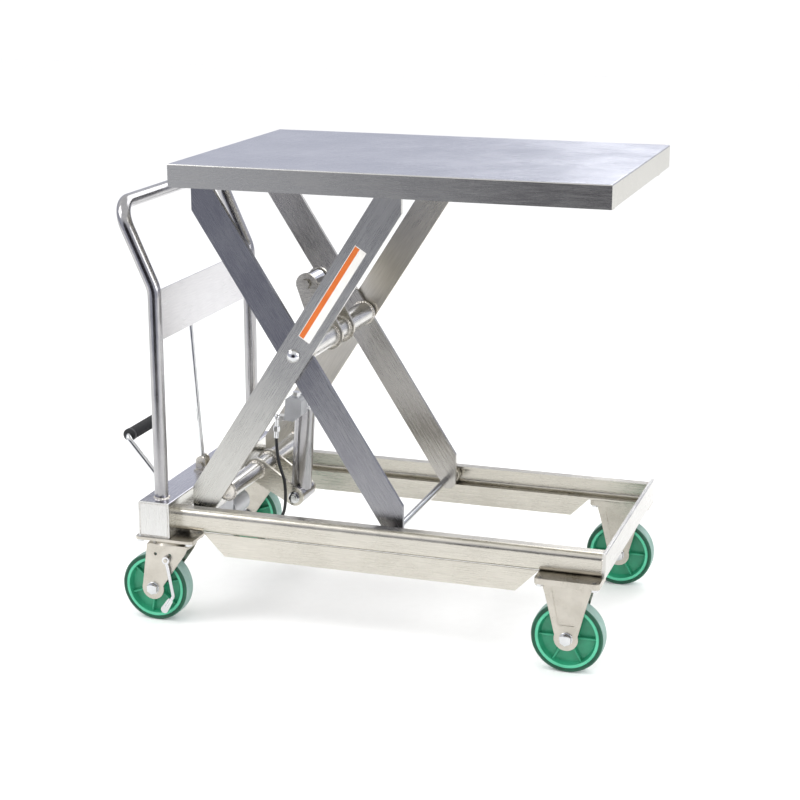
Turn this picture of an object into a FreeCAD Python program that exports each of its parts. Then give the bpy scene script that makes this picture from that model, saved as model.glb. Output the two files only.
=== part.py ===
"""Scissor lift table on a hand cart: stainless frame, hydraulic cylinder and foot pump.

Millimetres. +X runs from the handle to the fixed casters, +Z is up and the floor is z = 0.
The object is symmetric about y = 0 in all but its small fittings, and it is modelled raised.
"""
import FreeCAD
import Part
import math
import os

V = FreeCAD.Vector

# --- driving dimensions: deck and lift linkage ---
DECK_LENGTH = 762.0
DECK_WIDTH = 508.0
DECK_SHEET = 2.0
APRON_DEPTH = 40.0
ARM_LENGTH = 716.8          # between the end pivots of one arm
RAISED_ANGLE = 60.04        # of the line between the end pivots, at rest
FOLD_ANGLE = 48.0           # how far the outer arms turn from raised to lowered
ARM_WIDTH = 55.0
ARM_THICKNESS = 8.0
ARM_SKEW = 2.64             # the bar's own centre line lies flatter than its pivot line
ARM_GAP = 2.0
OUTER_ARM_SPAN = 354.0      # over the outer faces of the outer arms
ARM_TOE = 19.0              # bar left beyond the other pivots
PIN_RADIUS = 6.0
PIN_COLLAR = 4.0            # the pins' collars, wider than the pins by this
ARM_END_LAP = 0.4           # of the arms' rounded ends over those collars
ARM_END_RADIUS = PIN_RADIUS + PIN_COLLAR + ARM_END_LAP
BOLT_RADIUS = 8.0
RUNNING_FIT = 0.05          # radial
BODY_CLEARANCE = 0.5        # between pieces that move past each other
ROLLER_RADIUS = 16.3
ROLLER_WIDTH = 16.0
TRACK_WALL = 4.0
TRACK_DEPTH = 27.0
TRACK_SPAN = 430.8          # over the outer faces of the rails
TRACK_CORNER = 11.0
ROLLER_PLAY = 0.4

# --- driving dimensions: base frame ---
RAIL_AXIS_Z = 190.4
BEAM_DEPTH = 60.0
BEAM_HEIGHT = 66.0
BEAM_LENGTH = 488.0
BEAM_WALL = 3.0
BEAM_DROP = 27.7            # of the beam's underside below the rail axis
DECK_BEAM_GAP = 24.1        # between the deck's edge and the beam
DECK_SETBACK = 0.9          # deck edge behind the end plate's face
END_PLATE = 6.0
END_CORNER = 2.0
SKIRT_SHEET = 3.0
SKIRT_HEIGHT = 41.0
SKIRT_START = 51.0          # from the beam's front face
CROSS_HEIGHT = 42.0
CROSS_GAP = 2.0             # from the cross channel to the outer arms' toes

# --- driving dimensions: casters ---
WHEEL_RADIUS = 63.5
WHEEL_WIDTH = 32.0
TREAD = 7.8
HUB_RADIUS = 17.0
HUB_WIDTH = WHEEL_WIDTH + 3.0
WEB_THICKNESS = 7.0
RIM_THICKNESS = 5.5
RIB_THICKNESS = 3.5
RIB_SETBACK = 4.0           # of the ribs' edges inside the rim's
AXLE_RADIUS = 6.0
CASTER_SPAN = 436.0         # between wheel centres, across
FIXED_AXLE_SETBACK = 60.0
SWIVEL_SETBACK = 11.0       # kingpin behind the beam's front face
SWIVEL_TRAIL = 27.0
PLATE_LENGTH = 112.0
PLATE_WIDTH = 62.0
PLATE_THICKNESS = 5.0
FORK_SHEET = 4.0
FORK_GAP = 1.0              # between hub and fork leg
LEG_RADIUS = 21.0
KINGPIN_RADIUS = 9.0
RACE_RADIUS = 31.0
RACE_HEIGHT = 8.0
CASTER_BOLT = 4.0
BOLT_HEAD = 12.0            # across its flats
BRAKE_WIRE = 3.25
BRAKE_PIN = 3.5
BRAKE_STANDOFF = 9.0        # of the brake pin's end from the fork leg

# --- driving dimensions: handle, panel and release ---
HANDLE_RADIUS = 12.5
HANDLE_WALL = 2.0
HANDLE_SPAN = 424.0
HANDLE_RISE = 757.0         # height of the top bar
HANDLE_KNEE = 610.0
HANDLE_TILT = 24.0
HANDLE_SETBACK = 28.0       # posts behind the beam's front face
KNEE_RADIUS = 60.0
CORNER_RADIUS = 45.0
PANEL_TOP = 606.0
PANEL_HEIGHT = 91.0
PANEL_SHEET = 3.0
RELEASE_Y = -35.0
RELEASE_ROD = 4.0
RELEASE_TRAVEL = 22.0       # degrees of the hand lever
LEVER_REACH = 38.0          # from the hand lever's pin to its grip
LEVER_PIN = 4.0

# --- driving dimensions: foot pump and pedal ---
PEDAL_REACH = 110.5         # from the beam's back face to the grip's far side
PEDAL_ROD = 5.5
GRIP_RADIUS = 12.5
GRIP_LENGTH = 120.0
GRIP_Z = 295.0
GRIP_Y = -15.0
PEDAL_PIVOT_DROP = 28.7     # below the beam's top
PEDAL_PIVOT_SETBACK = 18.5  # behind the beam's back face
PEDAL_ARM = 58.0
PEDAL_TOE = 1.5             # the arm's end below the plunger's axis
PEDAL_STROKE = 18.0         # degrees
PEDAL_EYE = 9.0
PLUNGER_RADIUS = 8.0
PUMP_SETBACK = 22.0         # of the pump block from the beam's back face

# --- driving dimensions: cylinder ---
CYL_BASE_OFFSET = (121.0, 1.6)      # x, z of the lower pin from the outer arms' base pivot
CYL_TOP_OFFSET = (-29.0, 98.1)      # x, z of the upper pin from the arms' centre bolt
BARREL_RADIUS = 19.0
BARREL_LENGTH = 168.0
GLAND_LENGTH = 22.0
ROD_RADIUS = 11.0
EYE_RADIUS = 17.0
BRACKET_GAP = 56.0
BRACKET_SHEET = 6.0
LOWER_TUBE_OFFSET = (45.0, 47.6)    # from the base pivot
LOWER_TUBE_RADIUS = 16.0
TORQUE_TUBE_OFFSET = (12.0, 7.1)    # from the centre bolt
TORQUE_TUBE_RADIUS = 21.0
TUBE_WALL = 3.0
HOSE_RADIUS = 3.0

# --- derived places ---
WHEEL_OVERHANG = max(0.0, WHEEL_RADIUS - FIXED_AXLE_SETBACK)
TOTAL_LENGTH = WHEEL_OVERHANG + DECK_LENGTH + DECK_SETBACK + DECK_BEAM_GAP + BEAM_DEPTH + PEDAL_REACH
FRONT_X = TOTAL_LENGTH / 2 - WHEEL_OVERHANG
DECK_X1 = FRONT_X - DECK_SETBACK
DECK_X0 = DECK_X1 - DECK_LENGTH
BEAM_X1 = DECK_X0 - DECK_BEAM_GAP
BEAM_X0 = BEAM_X1 - BEAM_DEPTH
BEAM_Z0 = RAIL_AXIS_Z - BEAM_DROP
BEAM_Z1 = BEAM_Z0 + BEAM_HEIGHT
PIVOT_X = DECK_X0 + DECK_SHEET + BODY_CLEARANCE + ARM_END_RADIUS
HALF_SPAN = ARM_LENGTH / 2 * math.cos(math.radians(RAISED_ANGLE))
HALF_RISE = ARM_LENGTH / 2 * math.sin(math.radians(RAISED_ANGLE))
CROSS_DEPTH = PIVOT_X - ARM_TOE - CROSS_GAP - BEAM_X1
CENTRE = V(PIVOT_X + HALF_SPAN, 0, RAIL_AXIS_Z + HALF_RISE)
BASE_PIVOT = V(PIVOT_X, 0, RAIL_AXIS_Z)
TABLE_PIVOT = V(PIVOT_X, 0, RAIL_AXIS_Z + 2 * HALF_RISE)
LOWER_ROLLER = V(PIVOT_X + 2 * HALF_SPAN, 0, BASE_PIVOT.z)
UPPER_ROLLER = V(PIVOT_X + 2 * HALF_SPAN, 0, TABLE_PIVOT.z)
TRACK_HALF = ROLLER_RADIUS + ROLLER_PLAY + TRACK_WALL
DECK_UNDER_GAP = 4.3
DECK_Z = TABLE_PIVOT.z + TRACK_HALF + DECK_UNDER_GAP + DECK_SHEET
ARM_Y = OUTER_ARM_SPAN / 2
INNER_ARM_Y = ARM_Y - ARM_THICKNESS - ARM_GAP
TRACK_Y = TRACK_SPAN / 2
CASTER_Y = CASTER_SPAN / 2
FIXED_AXLE_X = FRONT_X - FIXED_AXLE_SETBACK
KINGPIN_X = BEAM_X1 - SWIVEL_SETBACK
SWIVEL_AXLE_X = KINGPIN_X - SWIVEL_TRAIL
HANDLE_X = BEAM_X1 - HANDLE_SETBACK
GRIP_X = BEAM_X0 - PEDAL_REACH + GRIP_RADIUS
PEDAL_X = BEAM_X0 - PEDAL_PIVOT_SETBACK
PEDAL_Z = BEAM_Z1 - PEDAL_PIVOT_DROP
CYL_BASE = (BASE_PIVOT.x + CYL_BASE_OFFSET[0], BASE_PIVOT.z + CYL_BASE_OFFSET[1])
CYL_TOP = (CENTRE.x + CYL_TOP_OFFSET[0], CENTRE.z + CYL_TOP_OFFSET[1])
LOWER_TUBE = (BASE_PIVOT.x + LOWER_TUBE_OFFSET[0], BASE_PIVOT.z + LOWER_TUBE_OFFSET[1])
TORQUE_TUBE = (CENTRE.x + TORQUE_TUBE_OFFSET[0], CENTRE.z + TORQUE_TUBE_OFFSET[1])
CYL_LENGTH = math.hypot(CYL_TOP[0] - CYL_BASE[0], CYL_TOP[1] - CYL_BASE[1])
CYL_TILT = math.degrees(math.atan2(CYL_TOP[0] - CYL_BASE[0], CYL_TOP[1] - CYL_BASE[1]))
BRACKET_Y = BRACKET_GAP / 2

# The hose is one run of rubber hose, clipped to the near base bracket. These are its corners,
# measured from the outer arms' base pivot: down from the block, and on under the arms to the pump.
HOSE_UPPER = [BASE_PIVOT + V(*corner) for corner in (
    (91.5, -46, 118.1), (93, -48, 89.6), (101.2, -52, 60.6), (111.3, -54.5, 37.6), (111.3, -54.5, 12.6),
)]
HOSE_LOWER = [BASE_PIVOT + V(*corner) for corner in (
    (111.3, -54.5, 12.6), (111.3, -54.5, -13.4), (99.3, -50, -38.4), (75.3, -44, -53.4),
    (48.3, -39, -60.4), (21.3, -34, -58.4), (-1.7, -32, -54.4),
)]

parts = {}


def box(x0, x1, y0, y1, z0, z1):
    return Part.makeBox(x1 - x0, y1 - y0, z1 - z0, V(x0, y0, z0))


def rod_y(x, z, radius, y0, y1):
    """A round bar across the object, along Y."""
    return Part.makeCylinder(radius, y1 - y0, V(x, y0, z), V(0, 1, 0))


def rod_z(x, y, radius, z0, z1):
    return Part.makeCylinder(radius, z1 - z0, V(x, y, z0))


def rod_x(y, z, radius, x0, x1):
    return Part.makeCylinder(radius, x1 - x0, V(x0, y, z), V(1, 0, 0))


def fuse(*shapes):
    return shapes[0].multiFuse(list(shapes[1:])).removeSplitter()


def group(*shapes):
    """Separate solids that share one node."""
    return Part.makeCompound(list(shapes))


def mirror_y(shape):
    return shape.mirror(V(0, 0, 0), V(0, 1, 0))


def both_sides(shape):
    return group(shape, mirror_y(shape))


def round_edges(shape, radius, chosen):
    """Fillet the edges for which chosen(edge) is true."""
    return shape.makeFillet(radius, [edge for edge in shape.Edges if chosen(edge)])


def runs_along(edge, axis):
    if not isinstance(edge.Curve, (Part.Line, Part.LineSegment)):
        return False
    ends = edge.Vertexes
    step = ends[1].Point.sub(ends[0].Point).normalize()
    return abs(abs(step.dot(axis)) - 1) < 1e-6


def prism_y(points, y0, y1):
    """A plate with the outline points, (x, z) pairs, between two places along Y."""
    ring = [V(x, y0, z) for x, z in points]
    face = Part.Face(Part.makePolygon(ring + ring[:1]))
    return face.extrude(V(0, y1 - y0, 0))


def link_plate(first, first_radius, second, second_radius, y0, y1):
    """A plate round two centres, with straight sides tangent to both ends."""
    dx = second[0] - first[0]
    dz = second[1] - first[1]
    length = math.hypot(dx, dz)
    along = math.atan2(dz, dx)
    lean = math.acos((first_radius - second_radius) / length)
    corners = []
    for centre, radius, sign in (
        (first, first_radius, 1), (second, second_radius, 1),
        (second, second_radius, -1), (first, first_radius, -1),
    ):
        angle = along + sign * lean
        corners.append((centre[0] + radius * math.cos(angle), centre[1] + radius * math.sin(angle)))
    return fuse(
        prism_y(corners, y0, y1),
        rod_y(first[0], first[1], first_radius, y0, y1),
        rod_y(second[0], second[1], second_radius, y0, y1),
    )


def hexagon(centre, axis, across, length):
    """A hexagonal bar of the given width across flats."""
    circle = [math.radians(60 * k) for k in range(6)]
    radius = across / math.sqrt(3)
    ring = [V(radius * math.cos(a), radius * math.sin(a), 0) for a in circle]
    bar = Part.Face(Part.makePolygon(ring + ring[:1])).extrude(V(0, 0, length))
    bar.Placement = FreeCAD.Placement(centre, FreeCAD.Rotation(V(0, 0, 1), axis))
    return bar


def rounded_path(points, radii):
    """A wire of straight runs with a tangent arc at every inner corner."""
    edges = []
    start = points[0]
    for k in range(1, len(points) - 1):
        back = points[k - 1].sub(points[k]).normalize()
        ahead = points[k + 1].sub(points[k]).normalize()
        half = (math.pi - back.getAngle(ahead)) / 2
        reach = radii[k - 1] * math.tan(half)
        enter = points[k] + back * reach
        leave = points[k] + ahead * reach
        middle = (back + ahead).normalize()
        crest = points[k] + middle * (radii[k - 1] / math.cos(half) - radii[k - 1])
        edges.append(Part.LineSegment(start, enter).toShape())
        edges.append(Part.Arc(enter, crest, leave).toShape())
        start = leave
    edges.append(Part.LineSegment(start, points[-1]).toShape())
    return Part.Wire(edges)


def swept_bar(path, radius):
    """A round bar along a wire."""
    heading = path.Edges[0].tangentAt(path.Edges[0].FirstParameter)
    start = path.Edges[0].Vertexes[0].Point
    ring = Part.Wire([Part.makeCircle(radius, start, heading)])
    return path.makePipeShell([ring], True, False)


def cord_radii(points):
    """The largest arcs that the runs beside each corner allow."""
    radii = []
    for k in range(1, len(points) - 1):
        back = points[k - 1].sub(points[k])
        ahead = points[k + 1].sub(points[k])
        half = (math.pi - back.getAngle(ahead)) / 2
        radii.append(0.45 * min(back.Length, ahead.Length) / math.tan(half))
    return radii


def hose(points, name):
    radii = cord_radii(points)
    path = rounded_path(points, radii)
    tube = swept_bar(path, HOSE_RADIUS)
    ratio = tube.Volume / (math.pi * HOSE_RADIUS ** 2 * path.Length)
    print(name, "radii", [round(r, 1) for r in radii], "length", round(path.Length, 1), "volume", round(ratio, 4))
    return tube


# ---------------------------------------------------------------- base frame
def handle_beam():
    """The square box beam that carries the handle and the swivel casters."""
    half = BEAM_LENGTH / 2 - BEAM_WALL
    outer = box(BEAM_X0, BEAM_X1, -half, half, BEAM_Z0, BEAM_Z1)
    outer = round_edges(outer, 3.0, lambda e: runs_along(e, V(0, 1, 0)))
    w = BEAM_WALL
    inner = box(BEAM_X0 + w, BEAM_X1 - w, -half, half, BEAM_Z0 + w, BEAM_Z1 - w)
    return outer.cut(inner)


def beam_caps():
    half = BEAM_LENGTH / 2
    cap = box(BEAM_X0, BEAM_X1, -half, -half + BEAM_WALL, BEAM_Z0, BEAM_Z1)
    cap = round_edges(cap, 3.0, lambda e: runs_along(e, V(0, 1, 0)))
    return both_sides(cap)


def channel(x0, x1, axis_z):
    """A roller track open towards the middle, with rounded corners beside its web."""
    z0 = axis_z - TRACK_HALF
    z1 = axis_z + TRACK_HALF
    web = -TRACK_Y
    outer = box(x0, x1, web, web + TRACK_DEPTH, z0, z1)
    outer = round_edges(outer, TRACK_CORNER, lambda e: runs_along(e, V(1, 0, 0)) and e.Vertexes[0].Y < web + 1)
    web += TRACK_WALL
    inner = box(x0, x1, web, web - TRACK_WALL + TRACK_DEPTH, z0 + TRACK_WALL, z1 - TRACK_WALL)
    inner = round_edges(
        inner, TRACK_CORNER - TRACK_WALL, lambda e: runs_along(e, V(1, 0, 0)) and e.Vertexes[0].Y < web + 1
    )
    return outer.cut(inner)


def side_rail():
    """A base rail with the pin that its outer arm turns on welded to its web."""
    return fuse(channel(BEAM_X1, FRONT_X - END_PLATE, RAIL_AXIS_Z), pivot_pin(BASE_PIVOT, ARM_Y))


def skirt():
    """The plate under a rail, up to the fixed caster's pad, with its ends cut at 45 degrees."""
    x0 = BEAM_X1 + SKIRT_START
    x1 = FIXED_AXLE_X - PLATE_LENGTH / 2
    z1 = RAIL_AXIS_Z - TRACK_HALF
    z0 = z1 - SKIRT_HEIGHT
    outline = [(x0, z1), (x1, z1), (x1 - SKIRT_HEIGHT, z0), (x0 + SKIRT_HEIGHT, z0)]
    y0 = -TRACK_Y + TRACK_WALL
    return prism_y(outline, y0, y0 + SKIRT_SHEET)


def end_plate():
    """The flat bar across the rails' ends at the fixed casters, a little proud of them all round."""
    proud = 3.0
    half = TRACK_Y + proud
    plate = box(
        FRONT_X - END_PLATE, FRONT_X, -half, half, RAIL_AXIS_Z - TRACK_HALF, RAIL_AXIS_Z + TRACK_HALF + proud
    )
    return round_edges(plate, END_CORNER, lambda e: e.Vertexes[0].X > FRONT_X - 1 and e.Vertexes[1].X > FRONT_X - 1)


def cross_channel():
    """The channel that ties the rails in front of the beam and carries the pump."""
    z0 = BEAM_Z0
    z1 = BEAM_Z0 + CROSS_HEIGHT
    half = TRACK_Y - TRACK_DEPTH
    outer = box(BEAM_X1, BEAM_X1 + CROSS_DEPTH, -half, half, z0, z1)
    outer = round_edges(outer, 5.0, lambda e: runs_along(e, V(0, 1, 0)) and e.Vertexes[0].Point.x > BEAM_X1 + 1)
    inner = box(BEAM_X1, BEAM_X1 + CROSS_DEPTH - BEAM_WALL, -half, half, z0 + BEAM_WALL, z1 - BEAM_WALL)
    return outer.cut(inner)


def pivot_pin(pivot, arm_face):
    """A pin from a track's web through one arm, with its collar and its retaining ring."""
    web = -TRACK_Y + TRACK_WALL
    face = -arm_face - BODY_CLEARANCE
    back = -arm_face + ARM_THICKNESS + BODY_CLEARANCE
    return fuse(
        rod_y(pivot.x, pivot.z, PIN_RADIUS + PIN_COLLAR, web, face),
        rod_y(pivot.x, pivot.z, PIN_RADIUS, face, back + 5.0),
        rod_y(pivot.x, pivot.z, PIN_RADIUS + 3.0, back, back + 3.0),
    )


# ---------------------------------------------------------------- lift arms
def arm_bar(foot, head, y_face, foot_toe, head_toe):
    """A flat bar in an XZ plane through the centre bolt, cut upright at both ends.

    foot and head are the pivots and the toes are how far the bar reaches beyond them.
    """
    side = 1 if head.x > foot.x else -1
    angle = math.radians(RAISED_ANGLE - ARM_SKEW)
    along = V(side * math.cos(angle), 0, math.sin(angle))
    across = V(-along.z, 0, along.x)
    reach = ARM_LENGTH
    half = ARM_WIDTH / 2
    ring = [
        CENTRE - along * reach - across * half, CENTRE + along * reach - across * half,
        CENTRE + along * reach + across * half, CENTRE - along * reach + across * half,
    ]
    strip = prism_y([(p.x, p.z) for p in ring], -y_face, -y_face + ARM_THICKNESS)
    ends = ((foot, foot_toe, -side, -1), (head, head_toe, side, 1))
    limits_x = sorted(p.x + out * toe for p, toe, out, up in ends)
    limits_z = sorted(p.z + up * min(toe, ROLLER_RADIUS) for p, toe, out, up in ends)
    bar = strip.common(box(limits_x[0], limits_x[1], -y_face, -y_face + ARM_THICKNESS, limits_z[0], limits_z[1]))
    for pivot, toe, out, up in ends:
        xs = sorted((pivot.x, pivot.x + out * (toe + 1.0)))
        zs = sorted((pivot.z, pivot.z + up * (toe + 1.0)))
        corner = box(xs[0], xs[1], -y_face - 1, -y_face + ARM_THICKNESS + 1, zs[0], zs[1])
        disc = rod_y(pivot.x, pivot.z, toe, -y_face - 2, -y_face + ARM_THICKNESS + 2)
        bar = bar.cut(corner.cut(disc))
    return bar


def hole_y(shape, pivot, radius):
    return shape.cut(rod_y(pivot.x, pivot.z, radius, -300, 300))


def outer_arm():
    bar = arm_bar(BASE_PIVOT, UPPER_ROLLER, ARM_Y, ARM_TOE, ARM_TOE)
    bar = hole_y(bar, BASE_PIVOT, PIN_RADIUS + RUNNING_FIT)
    bar = hole_y(bar, CENTRE, BOLT_RADIUS)
    return fuse(bar, roller_stud())


def inner_arm():
    bar = arm_bar(LOWER_ROLLER, TABLE_PIVOT, INNER_ARM_Y, ARM_TOE, ARM_END_RADIUS)
    bar = hole_y(bar, TABLE_PIVOT, PIN_RADIUS + RUNNING_FIT)
    bar = hole_y(bar, CENTRE, BOLT_RADIUS + RUNNING_FIT)
    return hole_y(bar, LOWER_ROLLER, PIN_RADIUS)


def centre_bolt():
    """The domed bolt that joins an outer and an inner arm, with the washer between them."""
    head = Part.makeSphere(14.0, V(CENTRE.x, -ARM_Y + 6.0, CENTRE.z))
    head = head.common(rod_y(CENTRE.x, CENTRE.z, 12.0, -ARM_Y - 9.0, -ARM_Y))
    end = -INNER_ARM_Y + ARM_THICKNESS - BODY_CLEARANCE
    shank = rod_y(CENTRE.x, CENTRE.z, BOLT_RADIUS, -ARM_Y, end)
    washer = rod_y(CENTRE.x, CENTRE.z, 2 * BOLT_RADIUS, -ARM_Y + ARM_THICKNESS, -INNER_ARM_Y - BODY_CLEARANCE)
    return fuse(head, shank, washer)


def roller_stud():
    """The stud on an outer arm's upper end that carries a deck roller."""
    x = UPPER_ROLLER.x
    z = UPPER_ROLLER.z
    face = -roller_y() + ROLLER_WIDTH / 2 + BODY_CLEARANCE
    tip = -roller_y() - ROLLER_WIDTH / 2 - BODY_CLEARANCE
    return fuse(
        rod_y(x, z, PIN_RADIUS, tip - 1.5, -ARM_Y + ARM_THICKNESS),
        rod_y(x, z, PIN_RADIUS + 3.0, face, -ARM_Y),
        rod_y(x, z, PIN_RADIUS + 1.5, tip - 1.5, tip),
    )


def roller_y():
    """How far the rollers' middle plane is from the object's middle."""
    return TRACK_Y - TRACK_WALL - 4.0 - ROLLER_WIDTH / 2


def roller_axle():
    """The bar across the inner arms' lower ends: it ties them and carries the base rollers."""
    x = LOWER_ROLLER.x
    z = LOWER_ROLLER.z
    face = roller_y() - ROLLER_WIDTH / 2 - BODY_CLEARANCE
    tip = roller_y() + ROLLER_WIDTH / 2 + BODY_CLEARANCE
    bar = rod_y(x, z, PIN_RADIUS, -tip - 1.5, tip + 1.5)
    collar = rod_y(x, z, PIN_RADIUS + 3.0, -face, -INNER_ARM_Y)
    ring = rod_y(x, z, PIN_RADIUS + 1.5, -tip - 1.5, -tip)
    return fuse(bar, collar, ring, mirror_y(collar), mirror_y(ring))


def roller(pivot):
    y = roller_y()
    half = ROLLER_WIDTH / 2
    wheel = rod_y(pivot.x, pivot.z, ROLLER_RADIUS, -y - half, -y + half)
    wheel = round_edges(wheel, 1.5, lambda e: abs(e.Length - 2 * math.pi * ROLLER_RADIUS) < 0.01)
    return wheel.cut(rod_y(pivot.x, pivot.z, PIN_RADIUS + RUNNING_FIT, -y - half - 1, -y + half + 1))


def cross_tube(place, radius, half):
    tube = rod_y(place[0], place[1], radius, -half, half)
    return tube.cut(rod_y(place[0], place[1], radius - TUBE_WALL, -half, half))


def bracket(tube, tube_radius, pin, wide, narrow):
    """One cylinder bracket: a plate that sits on a cross tube and holds one end of a pin."""
    plate = link_plate(tube, tube_radius + wide, pin, narrow, -BRACKET_Y - BRACKET_SHEET, -BRACKET_Y)
    plate = plate.cut(rod_y(tube[0], tube[1], tube_radius, -300, 300))
    return plate.cut(rod_y(pin[0], pin[1], PIN_RADIUS, -300, 300))


def base_pin():
    """The lower cylinder pin, with a boss and a nut outside each bracket."""
    edge = BRACKET_Y + BRACKET_SHEET
    x, z = CYL_BASE
    shaft = rod_y(x, z, PIN_RADIUS, -edge - 10.0, edge + 10.0)
    boss = rod_y(x, z, 11.0, -edge - 3.0, -edge)
    nut = hexagon(V(x, -edge - 8.0, z), V(0, 1, 0), 16.0, 5.0)
    return fuse(shaft, boss, nut, mirror_y(boss), mirror_y(nut))


def top_bracket():
    """An upper bracket closed by its end of the pin: the middle of the pin is the rod's own."""
    edge = BRACKET_Y + BRACKET_SHEET
    x, z = CYL_TOP
    plate = bracket(TORQUE_TUBE, TORQUE_TUBE_RADIUS, CYL_TOP, 7.0, 19.5)
    stub = rod_y(x, z, PIN_RADIUS, -edge - 2.0, -BRACKET_Y)
    head = hexagon(V(x, -edge - 6.0, z), V(0, 1, 0), 16.0, 6.0)
    return fuse(plate, stub, head)


# ---------------------------------------------------------------- deck
def deck_pan():
    """The folded sheet top: a flat deck with an apron on all four sides."""
    half = DECK_WIDTH / 2
    outer = box(DECK_X0, DECK_X1, -half, half, DECK_Z - APRON_DEPTH, DECK_Z)
    outer = round_edges(outer, 3.0, lambda e: e.Vertexes[0].Point.z > DECK_Z - 1 and e.Vertexes[1].Point.z > DECK_Z - 1)
    t = DECK_SHEET
    inner = box(DECK_X0 + t, DECK_X1 - t, -half + t, half - t, DECK_Z - APRON_DEPTH, DECK_Z - t)
    return outer.cut(inner)


def deck_track():
    """A track with its web carried up to the deck, and the pin that its inner arm turns on."""
    x0 = DECK_X0 + DECK_SHEET + 4.0
    x1 = DECK_X1 - DECK_SHEET - 6.0
    web = box(x0, x1, -TRACK_Y, -TRACK_Y + TRACK_WALL, TABLE_PIVOT.z, DECK_Z - DECK_SHEET)
    return fuse(channel(x0, x1, TABLE_PIVOT.z), web, pivot_pin(TABLE_PIVOT, INNER_ARM_Y))


def deck_stiffener():
    """A hat channel under the deck, between the arms."""
    z1 = DECK_Z - DECK_SHEET
    z0 = z1 - 18.0
    x0 = DECK_X0 + 60.0
    x1 = DECK_X1 - 60.0
    outline = [
        (-112, z1), (-112, z1 - 2), (-100, z1 - 2), (-96, z0), (-64, z0), (-60, z1 - 2), (-48, z1 - 2), (-48, z1),
        (-62, z1), (-66, z0 + 2), (-94, z0 + 2), (-98, z1),
    ]
    ring = [V(x0, y, z) for y, z in outline]
    return Part.Face(Part.makePolygon(ring + ring[:1])).extrude(V(x1 - x0, 0, 0))


# ---------------------------------------------------------------- handle
def handle_path():
    y = HANDLE_SPAN / 2
    lean = (HANDLE_RISE - HANDLE_KNEE) * math.tan(math.radians(HANDLE_TILT))
    low = V(HANDLE_X, -y, BEAM_Z1)
    knee = V(HANDLE_X, -y, HANDLE_KNEE)
    corner = V(HANDLE_X - lean, -y, HANDLE_RISE)
    left = [low, knee, corner]
    right = [V(p.x, -p.y, p.z) for p in reversed(left)]
    return rounded_path(left + right, [KNEE_RADIUS, CORNER_RADIUS, CORNER_RADIUS, KNEE_RADIUS])


def handle_tube():
    path = handle_path()
    return swept_bar(path, HANDLE_RADIUS).cut(swept_bar(path, HANDLE_RADIUS - HANDLE_WALL))


def handle_panel():
    y = HANDLE_SPAN / 2 - HANDLE_RADIUS / 2
    half = PANEL_SHEET / 2
    plate = box(HANDLE_X - half, HANDLE_X + half, -y, y, PANEL_TOP - PANEL_HEIGHT, PANEL_TOP)
    return plate.cut(swept_bar(handle_path(), HANDLE_RADIUS))


def release_points():
    """The ends of the release rod: the hand lever's tip and the clevis on the beam."""
    top = V(HANDLE_X - 18.0, RELEASE_Y, PANEL_TOP - 40.0)
    foot = V(HANDLE_X + 2.0, RELEASE_Y, BEAM_Z1 + 22.0)
    return top, foot


def release_rod():
    top, foot = release_points()
    run = top.sub(foot)
    return Part.makeCylinder(RELEASE_ROD, run.Length, foot, run)


def release_clevis():
    """The small fork and valve stem on the beam's top that the rod's foot works."""
    foot = release_points()[1]
    base = box(foot.x - 12, foot.x + 12, RELEASE_Y - 16, RELEASE_Y + 16, BEAM_Z1, BEAM_Z1 + 3)
    ear = link_plate((foot.x, BEAM_Z1 + 8), 10, (foot.x, BEAM_Z1 + 20), 9, RELEASE_Y + 8, RELEASE_Y + 12)
    ear = ear.cut(box(foot.x - 20, foot.x + 20, RELEASE_Y, RELEASE_Y + 20, BEAM_Z1 - 20, BEAM_Z1))
    far = ear.copy()
    far.translate(V(0, -20, 0))
    bolt = rod_y(foot.x, BEAM_Z1 + 11, 3.5, RELEASE_Y - 14, RELEASE_Y + 15)
    head = hexagon(V(foot.x, RELEASE_Y - 17, BEAM_Z1 + 11), V(0, 1, 0), 12, 5)
    return fuse(base, ear, far, bolt, head)


def release_lever():
    """The hand lever behind the panel: a flat blade on a cross pin, with a round grip."""
    top = release_points()[0]
    pivot = release_pivot()
    grip = (pivot.x - LEVER_REACH, pivot.z - 4.0)
    y0 = RELEASE_Y + 6.0
    y1 = y0 + 4.0
    lever = fuse(
        link_plate((pivot.x, pivot.z), 8.0, grip, 7.0, y0, y1),
        link_plate((pivot.x, pivot.z), 8.0, (top.x, top.z), 6.0, y0, y1),
        rod_y(grip[0], grip[1], 7.0, RELEASE_Y - 22.0, RELEASE_Y + 38.0),
    )
    return lever.cut(rod_y(pivot.x, pivot.z, LEVER_PIN + RUNNING_FIT, y0 - 1.0, y1 + 1.0))


def release_pivot():
    return V(HANDLE_X - PANEL_SHEET / 2 - 10.0, RELEASE_Y, PANEL_TOP - 28.0)


def release_bracket():
    """Two ears welded to the panel, and the pin between them."""
    p = release_pivot()
    face = HANDLE_X - PANEL_SHEET / 2
    y = RELEASE_Y + 13.0
    ear = fuse(
        rod_y(p.x, p.z, 8.0, y, y + PANEL_SHEET),
        box(p.x, face, y, y + PANEL_SHEET, p.z - 8.0, p.z + 8.0),
    )
    near = ear.copy()
    near.translate(V(0, -13, 0))
    pin = rod_y(p.x, p.z, LEVER_PIN, RELEASE_Y, y + 5.0)
    return fuse(ear, near, pin)


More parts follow.
